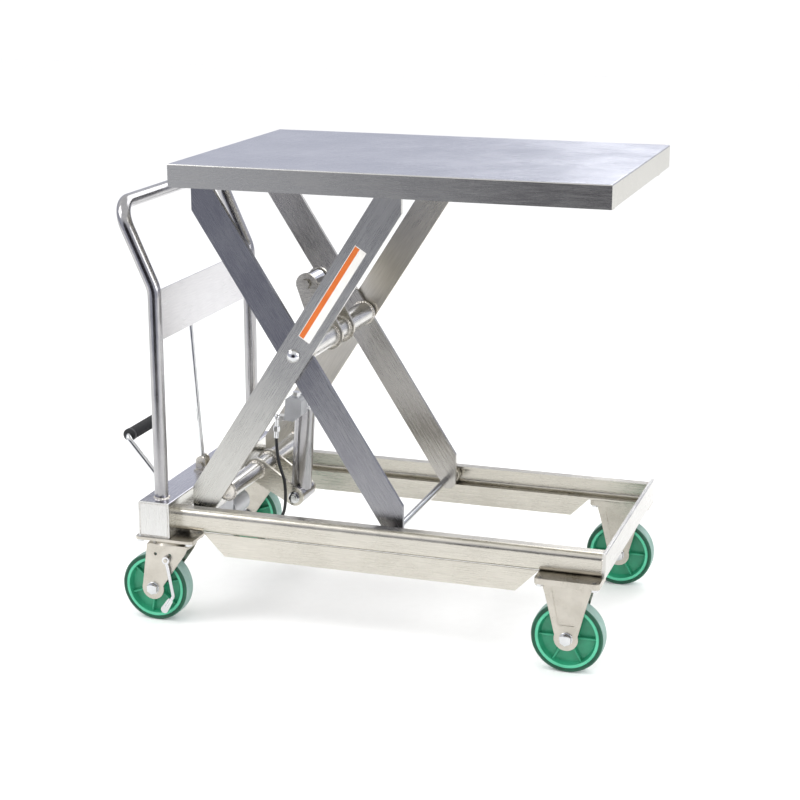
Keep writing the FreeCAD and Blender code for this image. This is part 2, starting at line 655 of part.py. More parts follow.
# ---------------------------------------------------------------- foot pump
def pump_body():
    """The pump block under the beam, with its plunger bore and its hose nipple."""
    x0 = BEAM_X0 + PUMP_SETBACK
    x1 = BEAM_X1 + 12.0
    z1 = BEAM_Z0
    z0 = z1 - 46.0
    block = box(x0, x1, GRIP_Y - 45, GRIP_Y + 35, z0, z1)
    block = round_edges(block, 5.0, lambda e: runs_along(e, V(0, 0, 1)))
    y = pump_y()
    z = pump_z()
    block = fuse(block, rod_x(y, z, PLUNGER_RADIUS + 6.0, x0 - 8.0, x0 + 4.0))
    block = block.cut(rod_x(y, z, PLUNGER_RADIUS + RUNNING_FIT, x0 - 9.0, x0 + 40.0))
    end = HOSE_LOWER[-1]
    nipple = fuse(rod_x(end.y, end.z, 5.0, x1 - 1.0, end.x), hexagon(V(x1, end.y, end.z), V(1, 0, 0), 13.0, 8.0))
    reservoir = rod_y((x0 + x1) / 2 + 4, z0 + 16, 24.0, GRIP_Y + 35, GRIP_Y + 105)
    return fuse(block, nipple, reservoir)


def pump_y():
    return GRIP_Y - 22.0


def pump_z():
    return PEDAL_Z - PEDAL_ARM


def pump_plunger():
    x0 = PEDAL_X + PEDAL_ROD + BODY_CLEARANCE
    return fuse(
        rod_x(pump_y(), pump_z(), PLUNGER_RADIUS, x0 + 4.0, x0 + 36.0),
        rod_x(pump_y(), pump_z(), PLUNGER_RADIUS + 3.0, x0, x0 + 4.0),
    )


def pedal_bracket():
    """Two ears on the beam's back face and the pin that the pedal turns on."""
    ears = []
    for y in (GRIP_Y - GRIP_LENGTH / 2 - 21.0, GRIP_Y - 9.0):
        ears.append(rod_y(PEDAL_X, PEDAL_Z, PEDAL_EYE, y, y + 4.0))
        ears.append(box(PEDAL_X, BEAM_X0, y, y + 4.0, PEDAL_Z - PEDAL_EYE, PEDAL_Z + PEDAL_EYE))
    pin = rod_y(PEDAL_X, PEDAL_Z, 5.0, GRIP_Y - GRIP_LENGTH / 2 - 24.0, GRIP_Y - 2.0)
    return fuse(*ears, pin)


def pedal_lever():
    """The bent bar from the hub to the grip, and the arm that works the plunger."""
    y = GRIP_Y - GRIP_LENGTH / 2 - 8.0
    hub = V(PEDAL_X, y, PEDAL_Z)
    corner = V(GRIP_X, y, GRIP_Z)
    end = V(GRIP_X, GRIP_Y + GRIP_LENGTH / 2 - 6.0, GRIP_Z)
    bar = swept_bar(rounded_path([hub, corner, end], [11.0]), PEDAL_ROD)
    sleeve = rod_y(PEDAL_X, PEDAL_Z, PEDAL_EYE, y - 8.0, GRIP_Y - 10.0)
    arm = rod_z(PEDAL_X, pump_y(), PEDAL_ROD, PEDAL_Z - PEDAL_ARM - PEDAL_TOE, PEDAL_Z)
    lever = fuse(bar, sleeve, arm)
    return lever.cut(rod_y(PEDAL_X, PEDAL_Z, 5.0 + RUNNING_FIT, y - 20.0, GRIP_Y + 10.0))


def pedal_grip():
    """The ribbed rubber sleeve with its collar at the near end."""
    y0 = GRIP_Y - GRIP_LENGTH / 2
    y1 = GRIP_Y + GRIP_LENGTH / 2
    sleeve = rod_y(GRIP_X, GRIP_Z, GRIP_RADIUS - 1.0, y0, y1)
    sleeve = fuse(sleeve, rod_y(GRIP_X, GRIP_Z, GRIP_RADIUS, y0 + 1.0, y0 + 9.0))
    return sleeve.cut(rod_y(GRIP_X, GRIP_Z, PEDAL_ROD, y0 - 1.0, y1 - 6.0))


# ---------------------------------------------------------------- casters
def ring_y(x, z, outer, inner, y0, y1):
    return rod_y(x, z, outer, y0, y1).cut(rod_y(x, z, inner, y0, y1))


def wheel_core(x, y):
    """A wheel centre in its moulded elements, face to face: rim, web, hub and six ribs a side."""
    z = WHEEL_RADIUS
    rim = WHEEL_RADIUS - TREAD
    inside = rim - RIM_THICKNESS
    half = WHEEL_WIDTH / 2
    web = WEB_THICKNESS / 2
    bore = AXLE_RADIUS + RUNNING_FIT
    pieces = [
        ring_y(x, z, rim, inside, y - half, y + half),
        ring_y(x, z, inside, HUB_RADIUS, y - web, y + web),
        ring_y(x, z, HUB_RADIUS, bore, y - HUB_WIDTH / 2, y + HUB_WIDTH / 2),
    ]
    annulus = ring_y(x, z, inside, HUB_RADIUS, y - half, y + half)
    for k in range(6):
        for y0, y1 in ((y - half + RIB_SETBACK, y - web), (y + web, y + half - RIB_SETBACK)):
            rib = box(x, x + rim, y0, y1, z - RIB_THICKNESS / 2, z + RIB_THICKNESS / 2)
            rib.rotate(V(x, y, z), V(0, 1, 0), 60 * k + 30)
            pieces.append(rib.common(annulus))
    return group(*pieces)


def wheel_tread(x, y):
    half = WHEEL_WIDTH / 2
    tyre = rod_y(x, WHEEL_RADIUS, WHEEL_RADIUS, y - half, y + half)
    tyre = round_edges(tyre, 3.5, lambda e: abs(e.Length - 2 * math.pi * WHEEL_RADIUS) < 0.01)
    return tyre.cut(rod_y(x, WHEEL_RADIUS, WHEEL_RADIUS - TREAD, y - half - 1, y + half + 1))


def leg_faces():
    """The inner and outer faces of a fork leg, from the wheel's middle plane."""
    inner = HUB_WIDTH / 2 + FORK_GAP
    return inner, inner + FORK_SHEET


def fork_leg(outline, axle_x, y0, y1):
    """One leg: an outline that runs into a round end at the axle."""
    plate = prism_y(outline, y0, y1)
    return fuse(plate, rod_y(axle_x, WHEEL_RADIUS, LEG_RADIUS, y0, y1))


def fixed_fork(y):
    """A rigid caster's pressed fork: a bolted flange and two tapered legs with ribs."""
    x = FIXED_AXLE_X
    z1 = RAIL_AXIS_Z - TRACK_HALF - PLATE_THICKNESS
    inner, outer = leg_faces()
    half = PLATE_LENGTH / 2
    flange = box(x - half, x + half, y - PLATE_WIDTH / 2, y + PLATE_WIDTH / 2, z1 - PLATE_THICKNESS, z1)
    flange = round_edges(flange, 8.0, lambda e: runs_along(e, V(0, 0, 1)))
    z = z1 - PLATE_THICKNESS
    low = WHEEL_RADIUS + 6.0
    outline = [(x - 44, z), (x + 44, z), (x + 37, z - 22), (x + LEG_RADIUS - 1, low), (x - LEG_RADIUS + 1, low), (x - 37, z - 22)]
    panel = [(x - 27, z - 6), (x + 27, z - 6), (x + 14, low + 18), (x - 14, low + 18)]
    pieces = [flange]
    for side in (-1, 1):
        ys = sorted((y + side * inner, y + side * outer))
        leg = fork_leg(outline, x, ys[0], ys[1])
        face = sorted((y + side * (outer - 1.2), y + side * (outer + 1)))
        leg = leg.cut(prism_y(panel, face[0], face[1]))
        pieces.append(leg)
    fork = fuse(*pieces)
    fork = fork.cut(rod_y(x, WHEEL_RADIUS, AXLE_RADIUS, y - 60, y + 60))
    for bx, by in plate_corners(x, y):
        fork = fork.cut(rod_z(bx, by, BOLT_HEAD / math.sqrt(3) + BODY_CLEARANCE, z - BOLT_HEAD / 2, z))
    return drill_plate(fork, x, y)


def fixed_pad(y):
    """The pad plate welded under a rail."""
    x = FIXED_AXLE_X
    z1 = RAIL_AXIS_Z - TRACK_HALF
    half = PLATE_LENGTH / 2
    pad = box(x - half, x + half, y - PLATE_WIDTH / 2, y + PLATE_WIDTH / 2, z1 - PLATE_THICKNESS, z1)
    pad = round_edges(pad, 8.0, lambda e: runs_along(e, V(0, 0, 1)))
    return drill_plate(pad, x, y)


def plate_corners(x, y):
    return [
        (x + sx * (PLATE_LENGTH / 2 - 9.0), y + sy * (PLATE_WIDTH / 2 - 7.0))
        for sx in (-1, 1) for sy in (-1, 1)
    ]


def drill_plate(plate, x, y):
    for bx, by in plate_corners(x, y):
        plate = plate.cut(rod_z(bx, by, CASTER_BOLT, 0, RAIL_AXIS_Z))
    return plate


def caster_bolts():
    """Four bolts through each caster plate, with their heads below."""
    bolts = []
    for x, y, z0, z1 in plate_stack():
        for bx, by in plate_corners(x, y):
            head = hexagon(V(bx, by, z0 - CASTER_BOLT), V(0, 0, 1), BOLT_HEAD, CASTER_BOLT)
            shank = rod_z(bx, by, CASTER_BOLT, z0 - CASTER_BOLT, z1)
            bolts.append(fuse(head, shank))
    return group(*bolts)


def plate_stack():
    """Each caster's place, and the under and upper side of its bolted plates."""
    stack = []
    for y in (-CASTER_Y, CASTER_Y):
        top = RAIL_AXIS_Z - TRACK_HALF
        stack.append((FIXED_AXLE_X, y, top - 2 * PLATE_THICKNESS, top))
        stack.append((KINGPIN_X, y, BEAM_Z0 - PLATE_THICKNESS, BEAM_Z0))
    return stack


def axle_bolt(x, y):
    """A hexagon bolt through a fork and a wheel."""
    inner, outer = leg_faces()
    shank = rod_y(x, WHEEL_RADIUS, AXLE_RADIUS, y - outer, y + outer + 9.0)
    head = hexagon(V(x, y - outer - 7.0, WHEEL_RADIUS), V(0, 1, 0), 19.0, 7.0)
    nut = hexagon(V(x, y + outer, WHEEL_RADIUS), V(0, 1, 0), 19.0, 7.0)
    if y > 0:
        return mirror_y(axle_bolt(x, -y))
    return fuse(shank, head, nut)


def swivel_housing(y):
    """The bolted plate and the ball race of a swivel caster."""
    half = PLATE_LENGTH / 2
    z1 = BEAM_Z0
    plate = box(KINGPIN_X - half, KINGPIN_X + half, y - PLATE_WIDTH / 2, y + PLATE_WIDTH / 2, z1 - PLATE_THICKNESS, z1)
    plate = round_edges(plate, 8.0, lambda e: runs_along(e, V(0, 0, 1)))
    z0 = z1 - PLATE_THICKNESS - RACE_HEIGHT
    race = Part.makeCone(RACE_RADIUS, RACE_RADIUS - 5.0, RACE_HEIGHT, V(KINGPIN_X, y, z0))
    housing = fuse(plate, race)
    housing = housing.cut(rod_z(KINGPIN_X, y, KINGPIN_RADIUS + RUNNING_FIT, z0 - 1, z1 - 1.5))
    return drill_plate(housing, KINGPIN_X, y)


def swivel_fork(y):
    """A swivel fork: a crown on a kingpin, and two winged legs that trail to the axle."""
    crown_z = BEAM_Z0 - PLATE_THICKNESS - RACE_HEIGHT - BODY_CLEARANCE
    inner, outer = leg_faces()
    crown = box(KINGPIN_X - 36, KINGPIN_X + 44, y - outer, y + outer, crown_z - PLATE_THICKNESS, crown_z)
    crown = round_edges(crown, 6.0, lambda e: runs_along(e, V(0, 0, 1)))
    pin = rod_z(KINGPIN_X, y, KINGPIN_RADIUS, crown_z - 1.0, BEAM_Z0 - 3.0)
    nut = hexagon(V(KINGPIN_X, y, crown_z - PLATE_THICKNESS - 6.0), V(0, 0, 1), 24.0, 6.0)
    ax = SWIVEL_AXLE_X
    low = WHEEL_RADIUS + 6.0
    z = crown_z - 1.0
    outline = [
        (KINGPIN_X - 36, z), (KINGPIN_X + 44, z), (KINGPIN_X + 36, z - 16),
        (ax + LEG_RADIUS - 1, low), (ax - LEG_RADIUS + 1, low),
    ]
    pieces = [crown, pin, nut]
    for side in (-1, 1):
        ys = sorted((y + side * inner, y + side * outer))
        leg = fork_leg(outline, ax, ys[0], ys[1])
        for hx in (-20, 8):
            leg = leg.cut(rod_y(KINGPIN_X + hx, z - 18, 3.0, ys[0] - 1, ys[1] + 1))
        pieces.append(leg)
    fork = fuse(*pieces)
    fork = fork.cut(rod_y(ax, WHEEL_RADIUS, AXLE_RADIUS, y - 60, y + 60))
    end = brake_pivot(y)
    ys = sorted((end.y, end.y - math.copysign(BRAKE_STANDOFF + FORK_SHEET / 2, y)))
    return fuse(fork, rod_y(end.x, end.z, BRAKE_PIN, ys[0], ys[1]))


def brake_pivot(y):
    """The end of the pin that the brake lever turns on, outside the outer leg."""
    side = math.copysign(1, y)
    return V(KINGPIN_X + 3.0, y + side * (leg_faces()[1] + BRAKE_STANDOFF), 2 * WHEEL_RADIUS - 5.0)


def brake_lever(y):
    """The bent wire brake lever outside a swivel fork, with its flattened foot tab."""
    side = math.copysign(1, y)
    p = brake_pivot(y)
    plane = y + side * (leg_faces()[1] + BRAKE_WIRE + 1.2)
    eye = rod_y(p.x, p.z, 7.0, plane - BRAKE_WIRE, plane + BRAKE_WIRE)
    route = [V(p.x, plane, p.z - 3.0), V(p.x + 3, plane, p.z - 18), V(p.x + 12, plane, 54), V(p.x - 2, plane, 33)]
    wire = swept_bar(rounded_path(route, [14.0, 9.0]), BRAKE_WIRE)
    tab = link_plate((p.x + 5, 44), 5.5, (p.x - 6, 27), 7.0, plane - 1.6, plane + 1.6)
    lever = fuse(eye, wire, tab)
    return lever.cut(rod_y(p.x, p.z, BRAKE_PIN + RUNNING_FIT, plane - 20, plane + 20))


# ---------------------------------------------------------------- cylinder
def on_cylinder(shape):
    """Turn a shape drawn about the origin, with its axis along +Z, onto the cylinder's axis."""
    shape.rotate(V(0, 0, 0), V(0, 1, 0), CYL_TILT)
    shape.translate(V(CYL_BASE[0], 0, CYL_BASE[1]))
    return shape


def cylinder_barrel():
    """The barrel with its base eye; its bore is closed at the foot."""
    eye = rod_y(0, 0, EYE_RADIUS, -BRACKET_Y + BODY_CLEARANCE, BRACKET_Y - BODY_CLEARANCE)
    tube = rod_z(0, 0, BARREL_RADIUS, 10.0, BARREL_LENGTH)
    barrel = fuse(eye, tube)
    barrel = barrel.cut(rod_z(0, 0, ROD_RADIUS + 3.0, 30.0, BARREL_LENGTH + 1))
    return on_cylinder(barrel.cut(rod_y(0, 0, PIN_RADIUS + RUNNING_FIT, -60, 60)))


def cylinder_gland():
    """The grooved gland nut at the top of the barrel."""
    gland = rod_z(0, 0, BARREL_RADIUS - 2.0, BARREL_LENGTH, BARREL_LENGTH + GLAND_LENGTH)
    groove = rod_z(0, 0, BARREL_RADIUS, BARREL_LENGTH + 5, BARREL_LENGTH + 7)
    groove = groove.cut(rod_z(0, 0, BARREL_RADIUS - 4.0, BARREL_LENGTH + 5, BARREL_LENGTH + 7))
    gland = round_edges(gland, 2.0, lambda e: e.Vertexes[0].Point.z > BARREL_LENGTH + GLAND_LENGTH - 0.1)
    gland = gland.cut(groove)
    bore = rod_z(0, 0, ROD_RADIUS + RUNNING_FIT, BARREL_LENGTH - 1, BARREL_LENGTH + GLAND_LENGTH + 1)
    return on_cylinder(gland.cut(bore))


def piston_rod():
    """The piston rod with its piston head and its welded top eye; a pin closes the eye."""
    half = BRACKET_Y - BODY_CLEARANCE - 1.0
    rod = rod_z(0, 0, ROD_RADIUS, BARREL_LENGTH - 8.0, CYL_LENGTH - EYE_RADIUS + 4.0)
    eye = rod_y(0, CYL_LENGTH, EYE_RADIUS, -half, half)
    eye = round_edges(eye, 2.0, lambda e: abs(e.Length - 2 * math.pi * EYE_RADIUS) < 0.01)
    return on_cylinder(fuse(rod, eye))


def valve_block():
    """The cast block on the barrel's near side: it holds the lowering valve."""
    outline = [(-24, 150), (-6, 150), (2, 158), (8, 162), (8, 190), (3, 194), (-20, 194), (-24, 190)]
    block = prism_y(outline, -46.0, -6.0)
    block = round_edges(block, 1.5, lambda e: runs_along(e, V(0, 1, 0)))
    block = block.cut(rod_z(0, 0, BARREL_RADIUS, 140, BARREL_LENGTH))
    block = block.cut(rod_z(0, 0, BARREL_RADIUS - 2.0, BARREL_LENGTH - 1, 200))
    return on_cylinder(block)


def block_fittings():
    """The hexagon plug on the block, and the elbow and ferrule that the hose comes out of."""
    plug = fuse(rod_z(-8, -32, 7.5, 194, 196), hexagon(V(-8, -32, 196), V(0, 0, 1), 13.0, 8.0))
    start = HOSE_UPPER[0]
    lean = math.radians(CYL_TILT)
    dx = start.x - CYL_BASE[0]
    dz = start.z - CYL_BASE[1]
    fx = dx * math.cos(lean) - dz * math.sin(lean)
    fz = dx * math.sin(lean) + dz * math.cos(lean)
    y = start.y
    elbow = fuse(
        rod_z(fx, y, 4.6, fz, fz + 13),
        hexagon(V(fx, y, fz + 13), V(0, 0, 1), 11.0, 9.0),
        rod_z(fx, y, 4.0, fz + 22, fz + 40),
        Part.makeSphere(5.5, V(fx, y, fz + 40)),
        rod_x(y + 4, fz + 40, 4.0, fx, -24),
        hexagon(V(-33, y + 4, fz + 40), V(1, 0, 0), 12.0, 9.0),
    )
    return on_cylinder(group(plug, elbow))


# ---------------------------------------------------------------- the nodes
def collect():
    nodes = {
        "handle_beam": handle_beam(),
        "beam_caps": beam_caps(),
        "rail_near": side_rail(),
        "rail_far": mirror_y(side_rail()),
        "rail_skirts": both_sides(skirt()),
        "end_plate": end_plate(),
        "cross_channel": cross_channel(),
        "handle_tube": handle_tube(),
        "handle_panel": handle_panel(),
        "release_mounts": group(release_bracket(), release_clevis()),
        "release_lever": release_lever(),
        "release_rod": release_rod(),
        "pump_body": pump_body(),
        "pump_plunger": pump_plunger(),
        "pedal_bracket": pedal_bracket(),
        "pedal_lever": pedal_lever(),
        "pedal_grip": pedal_grip(),
        "swivel_housings": both_sides(swivel_housing(-CASTER_Y)),
        "fixed_pads": both_sides(fixed_pad(-CASTER_Y)),
        "fixed_axles": both_sides(axle_bolt(FIXED_AXLE_X, -CASTER_Y)),
        "caster_bolts": caster_bolts(),
        "outer_arm_near": outer_arm(),
        "outer_arm_far": mirror_y(outer_arm()),
        "arm_bolts": both_sides(centre_bolt()),
        "lower_cross_tube": cross_tube(LOWER_TUBE, LOWER_TUBE_RADIUS, ARM_Y - ARM_THICKNESS),
        "base_brackets": both_sides(bracket(LOWER_TUBE, LOWER_TUBE_RADIUS, CYL_BASE, 6.0, 17.0)),
        "base_pin": base_pin(),
        "inner_arm_near": inner_arm(),
        "inner_arm_far": mirror_y(inner_arm()),
        "torque_tube": cross_tube(TORQUE_TUBE, TORQUE_TUBE_RADIUS, INNER_ARM_Y - ARM_THICKNESS),
        "top_brackets": both_sides(top_bracket()),
        "roller_axle": roller_axle(),
        "deck_pan": deck_pan(),
        "deck_tracks": both_sides(deck_track()),
        "deck_stiffeners": both_sides(deck_stiffener()),
        "base_rollers": both_sides(roller(LOWER_ROLLER)),
        "deck_rollers": both_sides(roller(UPPER_ROLLER)),
        "cylinder_barrel": cylinder_barrel(),
        "cylinder_gland": cylinder_gland(),
        "piston_rod": piston_rod(),
        "valve_block": valve_block(),
        "block_fittings": block_fittings(),
        "hose_upper": hose(HOSE_UPPER, "hose_upper"),
        "hose_lower": hose(HOSE_LOWER, "hose_lower"),
    }
    for name, y in (("near", -CASTER_Y), ("far", CASTER_Y)):
        nodes["fixed_fork_" + name] = fixed_fork(y)
        nodes["swivel_fork_" + name] = swivel_fork(y)
        nodes["brake_lever_" + name] = brake_lever(y)
        for kind, x in (("fixed", FIXED_AXLE_X), ("swivel", SWIVEL_AXLE_X)):
            nodes[kind + "_core_" + name] = wheel_core(x, y)
            nodes[kind + "_tread_" + name] = wheel_tread(x, y)
    nodes["swivel_axle_near"] = axle_bolt(SWIVEL_AXLE_X, -CASTER_Y)
    nodes["swivel_axle_far"] = axle_bolt(SWIVEL_AXLE_X, CASTER_Y)
    return nodes


os.makedirs("parts", exist_ok=True)
for node, shape in collect().items():
    shape.exportStep("parts/" + node + ".step")
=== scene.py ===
"""Looks of a stainless scissor lift table: finishes, dressed pieces, studio and camera.

Lengths in the classes are millimetres unless a name says otherwise; MM turns them to metres.
"""
import logging
import math
from collections.abc import Callable, Iterable, Mapping
from dataclasses import dataclass, field
from enum import Enum
from typing import Any

import bmesh
import bpy
from mathutils import Matrix, Vector


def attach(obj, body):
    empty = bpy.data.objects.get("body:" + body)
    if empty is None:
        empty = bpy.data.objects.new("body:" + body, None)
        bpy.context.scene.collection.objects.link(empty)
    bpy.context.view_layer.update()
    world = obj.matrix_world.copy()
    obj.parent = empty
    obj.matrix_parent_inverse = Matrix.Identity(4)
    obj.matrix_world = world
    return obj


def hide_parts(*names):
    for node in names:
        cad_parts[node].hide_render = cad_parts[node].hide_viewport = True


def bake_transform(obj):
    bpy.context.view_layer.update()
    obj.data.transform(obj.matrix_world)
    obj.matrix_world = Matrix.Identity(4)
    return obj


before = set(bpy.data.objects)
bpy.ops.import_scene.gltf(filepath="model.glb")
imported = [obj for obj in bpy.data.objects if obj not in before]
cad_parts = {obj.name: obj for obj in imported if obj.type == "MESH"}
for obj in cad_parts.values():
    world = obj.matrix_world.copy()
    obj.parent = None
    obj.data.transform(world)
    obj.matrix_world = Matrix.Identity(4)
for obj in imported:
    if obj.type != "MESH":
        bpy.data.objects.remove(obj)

log = logging.getLogger("lift_table")
MM = 0.001
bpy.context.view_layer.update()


class Grain(Enum):
    """The way that a sheet or bar was brushed: a turn about Y in degrees, and the strokes' stretch."""

    X = (0.0, (34.0, 1.0, 1.0))
    Y = (0.0, (1.0, 34.0, 1.0))
    Z = (0.0, (1.0, 1.0, 34.0))
    OUTER_ARM = (-57.4, (34.0, 1.0, 1.0))
    INNER_ARM = (-122.6, (34.0, 1.0, 1.0))


def linear(code: str) -> tuple[float, float, float, float]:
    """Turn an sRGB hex colour into linear RGBA.

    Args:
        code: Six hex digits, with or without a leading #.

    Returns:
        Linear red, green and blue, with an alpha of 1.
    """
    digits = code.lstrip("#")
    parts = [int(digits[k : k + 2], 16) / 255 for k in (0, 2, 4)]
    red, green, blue = (c / 12.92 if c <= 0.04045 else ((c + 0.055) / 1.055) ** 2.4 for c in parts)
    return red, green, blue, 1.0


def add_node(
    tree: bpy.types.NodeTree,
    kind: str,
    settings: Mapping[Any, Any] | None = None,
    links: Mapping[Any, bpy.types.NodeSocket] | None = None,
) -> bpy.types.Node:
    """Add one shader node.

    Args:
        tree: The node tree that gets the node.
        kind: The node's type name.
        settings: Options by attribute name, and input values by socket name or number.
        links: Sockets to link, by the name or number of the input that each one feeds.

    Returns:
        The new node.
    """
    node = tree.nodes.new(kind)
    for key, value in (settings or {}).items():
        if isinstance(key, str) and hasattr(node, key):
            setattr(node, key, value)
        else:
            node.inputs[key].default_value = value
    for key, socket in (links or {}).items():
        tree.links.new(socket, node.inputs[key])
    return node


@dataclass(frozen=True)
class Finish:
    """What every finish has: a name, and one material made the first time it is asked for."""

    name: str

    def material(self) -> bpy.types.Material:
        """Return this finish's material, built once."""
        made = bpy.data.materials.get(self.name)
        if made is None:
            made = bpy.data.materials.new(self.name)
            made.use_nodes = True
            made.node_tree.nodes.clear()
            shader = self.shade(made.node_tree)
            add_node(made.node_tree, "ShaderNodeOutputMaterial", links={"Surface": shader.outputs[0]})
        return made

    def shade(self, tree: bpy.types.NodeTree) -> bpy.types.Node:
        """Build the nodes and return the shader that ends them."""
        raise NotImplementedError

    def place(self, tree: bpy.types.NodeTree, settings: Mapping[str, Any] | None = None) -> bpy.types.NodeSocket:
        """Object coordinates in metres, turned and stretched by a Mapping node."""
        coordinates = add_node(tree, "ShaderNodeTexCoord")
        mapped = add_node(tree, "ShaderNodeMapping", settings, {"Vector": coordinates.outputs["Object"]})
        return mapped.outputs[0]

    def spread(
        self, tree: bpy.types.NodeTree, value: bpy.types.NodeSocket, low: float, high: float
    ) -> bpy.types.NodeSocket:
        """Spread a noise's middle range over low to high."""
        settings = {"From Min": 0.32, "From Max": 0.68, "To Min": low, "To Max": high}
        return add_node(tree, "ShaderNodeMapRange", settings, {"Value": value}).outputs[0]


@dataclass(frozen=True)
class BrushedStainless(Finish):
    """Stainless steel, linished with a fine belt.

    The belt leaves long hair-fine strokes one way, which stretch the highlights across them.
    Handling leaves broad, faint clouds. Strokes are drawn about 1 mm apart, coarser than a
    240 grit belt leaves them, so that they show.
    """

    light: str = "C9CACB"
    dark: str = "A9AAAC"
    grain: Grain = Grain.X
    stroke_mm: float = 1.1
    cloud_mm: float = 90.0
    smooth: float = 0.22
    rough: float = 0.38
    # Painted reflection: the colour for faces turned away from up, standing in for warm bounce light.
    upright: str = ""

    def shade(self, tree: bpy.types.NodeTree) -> bpy.types.Node:
        """Strokes drive colour, roughness and bump; clouds shift them slowly."""
        turn, stretch = self.grain.value
        settings = {"vector_type": "TEXTURE", "Rotation": (0.0, math.radians(turn), 0.0), "Scale": stretch}
        along = self.place(tree, settings)
        strokes = add_node(
            tree, "ShaderNodeTexNoise", {"Scale": 1 / (self.stroke_mm * MM), "Detail": 3.0, "Roughness": 0.6},
            {"Vector": along},
        )
        clouds = add_node(
            tree, "ShaderNodeTexNoise", {"Scale": 1 / (self.cloud_mm * MM), "Detail": 4.0, "Roughness": 0.55},
            {"Vector": self.place(tree)},
        )
        both = add_node(
            tree, "ShaderNodeMix", {"data_type": "FLOAT", 0: 0.45},
            {2: strokes.outputs["Fac"], 3: clouds.outputs["Fac"]},
        )
        tint = add_node(
            tree, "ShaderNodeMix", {"data_type": "RGBA", 6: linear(self.dark), 7: linear(self.light)},
            {0: self.spread(tree, both.outputs[0], 0.0, 1.0)},
        )
        if self.upright:
            tint = self.paint_side_reflection(tree, tint)
        bump = add_node(
            tree, "ShaderNodeBump", {"Strength": 0.10, "Distance": 0.0002}, {"Height": strokes.outputs["Fac"]},
        )
        return add_node(
            tree, "ShaderNodeBsdfPrincipled", {"Metallic": 1.0},
            {
                "Base Color": tint.outputs[2],
                "Roughness": self.spread(tree, both.outputs[0], self.smooth, self.rough),
                "Normal": bump.outputs[0],
            },
        )


    def paint_side_reflection(self, tree: bpy.types.NodeTree, tint: bpy.types.Node) -> bpy.types.Node:
        """Paint the folded, upright edges of a sheet in a colour of their own, a painted reflection of warm bounce
        light, blended in by how far each face turns from up.
        """
        place = add_node(tree, "ShaderNodeTexCoord")
        normal = add_node(tree, "ShaderNodeSeparateXYZ", links={0: place.outputs["Normal"]})
        # Faces turned up keep the sheet's tint; the rest blend to the painted reflection.
        level = add_node(
            tree, "ShaderNodeMapRange", {"From Min": 0.35, "From Max": 0.85}, {"Value": normal.outputs[2]},
        )
        return add_node(
            tree, "ShaderNodeMix", {"data_type": "RGBA", 6: linear(self.upright)},
            {0: level.outputs[0], 7: tint.outputs[2]},
        )


@dataclass(frozen=True)
class GrainyMetal(Finish):
    """Metal whose surface has no direction: pressed and passivated, plated, turned or cast.

    Grains a millimetre or less across break up the gloss, and a casting's are deep enough to see.
    """

    light: str = "C8C6C1"
    dark: str = "A9A7A2"
    grain_mm: float = 0.9
    smooth: float = 0.30
    rough: float = 0.46
    depth: float = 0.05

    def shade(self, tree: bpy.types.NodeTree) -> bpy.types.Node:
        """Fine grain over a slow stain."""
        place = self.place(tree)
        grain = add_node(
            tree, "ShaderNodeTexNoise", {"Scale": 1 / (self.grain_mm * MM), "Detail": 2.0}, {"Vector": place},
        )
        stain = add_node(tree, "ShaderNodeTexNoise", {"Scale": 28.0, "Detail": 4.0}, {"Vector": place})
        both = add_node(
            tree, "ShaderNodeMix", {"data_type": "FLOAT", 0: 0.6}, {2: grain.outputs["Fac"], 3: stain.outputs["Fac"]},
        )
        tint = add_node(
            tree, "ShaderNodeMix", {"data_type": "RGBA", 6: linear(self.dark), 7: linear(self.light)},
            {0: self.spread(tree, both.outputs[0], 0.0, 1.0)},
        )
        bump = add_node(
            tree, "ShaderNodeBump", {"Strength": self.depth, "Distance": 0.0004}, {"Height": grain.outputs["Fac"]},
        )
        return add_node(
            tree, "ShaderNodeBsdfPrincipled", {"Metallic": 1.0},
            {
                "Base Color": tint.outputs[2],
                "Roughness": self.spread(tree, both.outputs[0], self.smooth, self.rough),
                "Normal": bump.outputs[0],
            },
        )


@dataclass(frozen=True)
class MouldedPolymer(Finish):
    """Rubber, polyurethane or nylon as it leaves the mould.

    The mould's fine texture keeps it matt, dust lightens it in patches, and it has no metal in it.
    """

    light: str = "202124"
    dark: str = "141517"
    speck_mm: float = 0.8
    smooth: float = 0.42
    rough: float = 0.62
    ior: float = 1.52
    depth: float = 0.08

    def shade(self, tree: bpy.types.NodeTree) -> bpy.types.Node:
        """Mould texture over patches of dust."""
        place = self.place(tree)
        speck = add_node(
            tree, "ShaderNodeTexNoise", {"Scale": 1 / (self.speck_mm * MM), "Detail": 3.0}, {"Vector": place},
        )
        dust = add_node(tree, "ShaderNodeTexNoise", {"Scale": 45.0, "Detail": 5.0}, {"Vector": place})
        both = add_node(
            tree, "ShaderNodeMix", {"data_type": "FLOAT", 0: 0.7}, {2: speck.outputs["Fac"], 3: dust.outputs["Fac"]},
        )
        tint = add_node(
            tree, "ShaderNodeMix", {"data_type": "RGBA", 6: linear(self.dark), 7: linear(self.light)},
            {0: self.spread(tree, both.outputs[0], 0.0, 1.0)},
        )
        bump = add_node(
            tree, "ShaderNodeBump", {"Strength": self.depth, "Distance": 0.0003}, {"Height": speck.outputs["Fac"]},
        )
        return add_node(
            tree, "ShaderNodeBsdfPrincipled", {"IOR": self.ior},
            {
                "Base Color": tint.outputs[2],
                "Roughness": self.spread(tree, both.outputs[0], self.smooth, self.rough),
                "Normal": bump.outputs[0],
            },
        )


# Folded sheet, brushed along its length: cool, slightly violet grey on top, warmer on its upright edges. Both tints
# are painted reflection: cool sky on top, warm bounce light on the edges.
DECK_TOP = BrushedStainless("brushed_stainless_deck_painted_reflection", "CACBD3", "AEB0B9", Grain.X, 1.3, 140.0, 0.20, 0.34, "D2D0C8")
BEAM = BrushedStainless("brushed_stainless_beam_painted_reflection", "CFCFD6", "B2B2BB", Grain.Y, 1.3, 120.0, 0.20, 0.34, "DAD9D4")
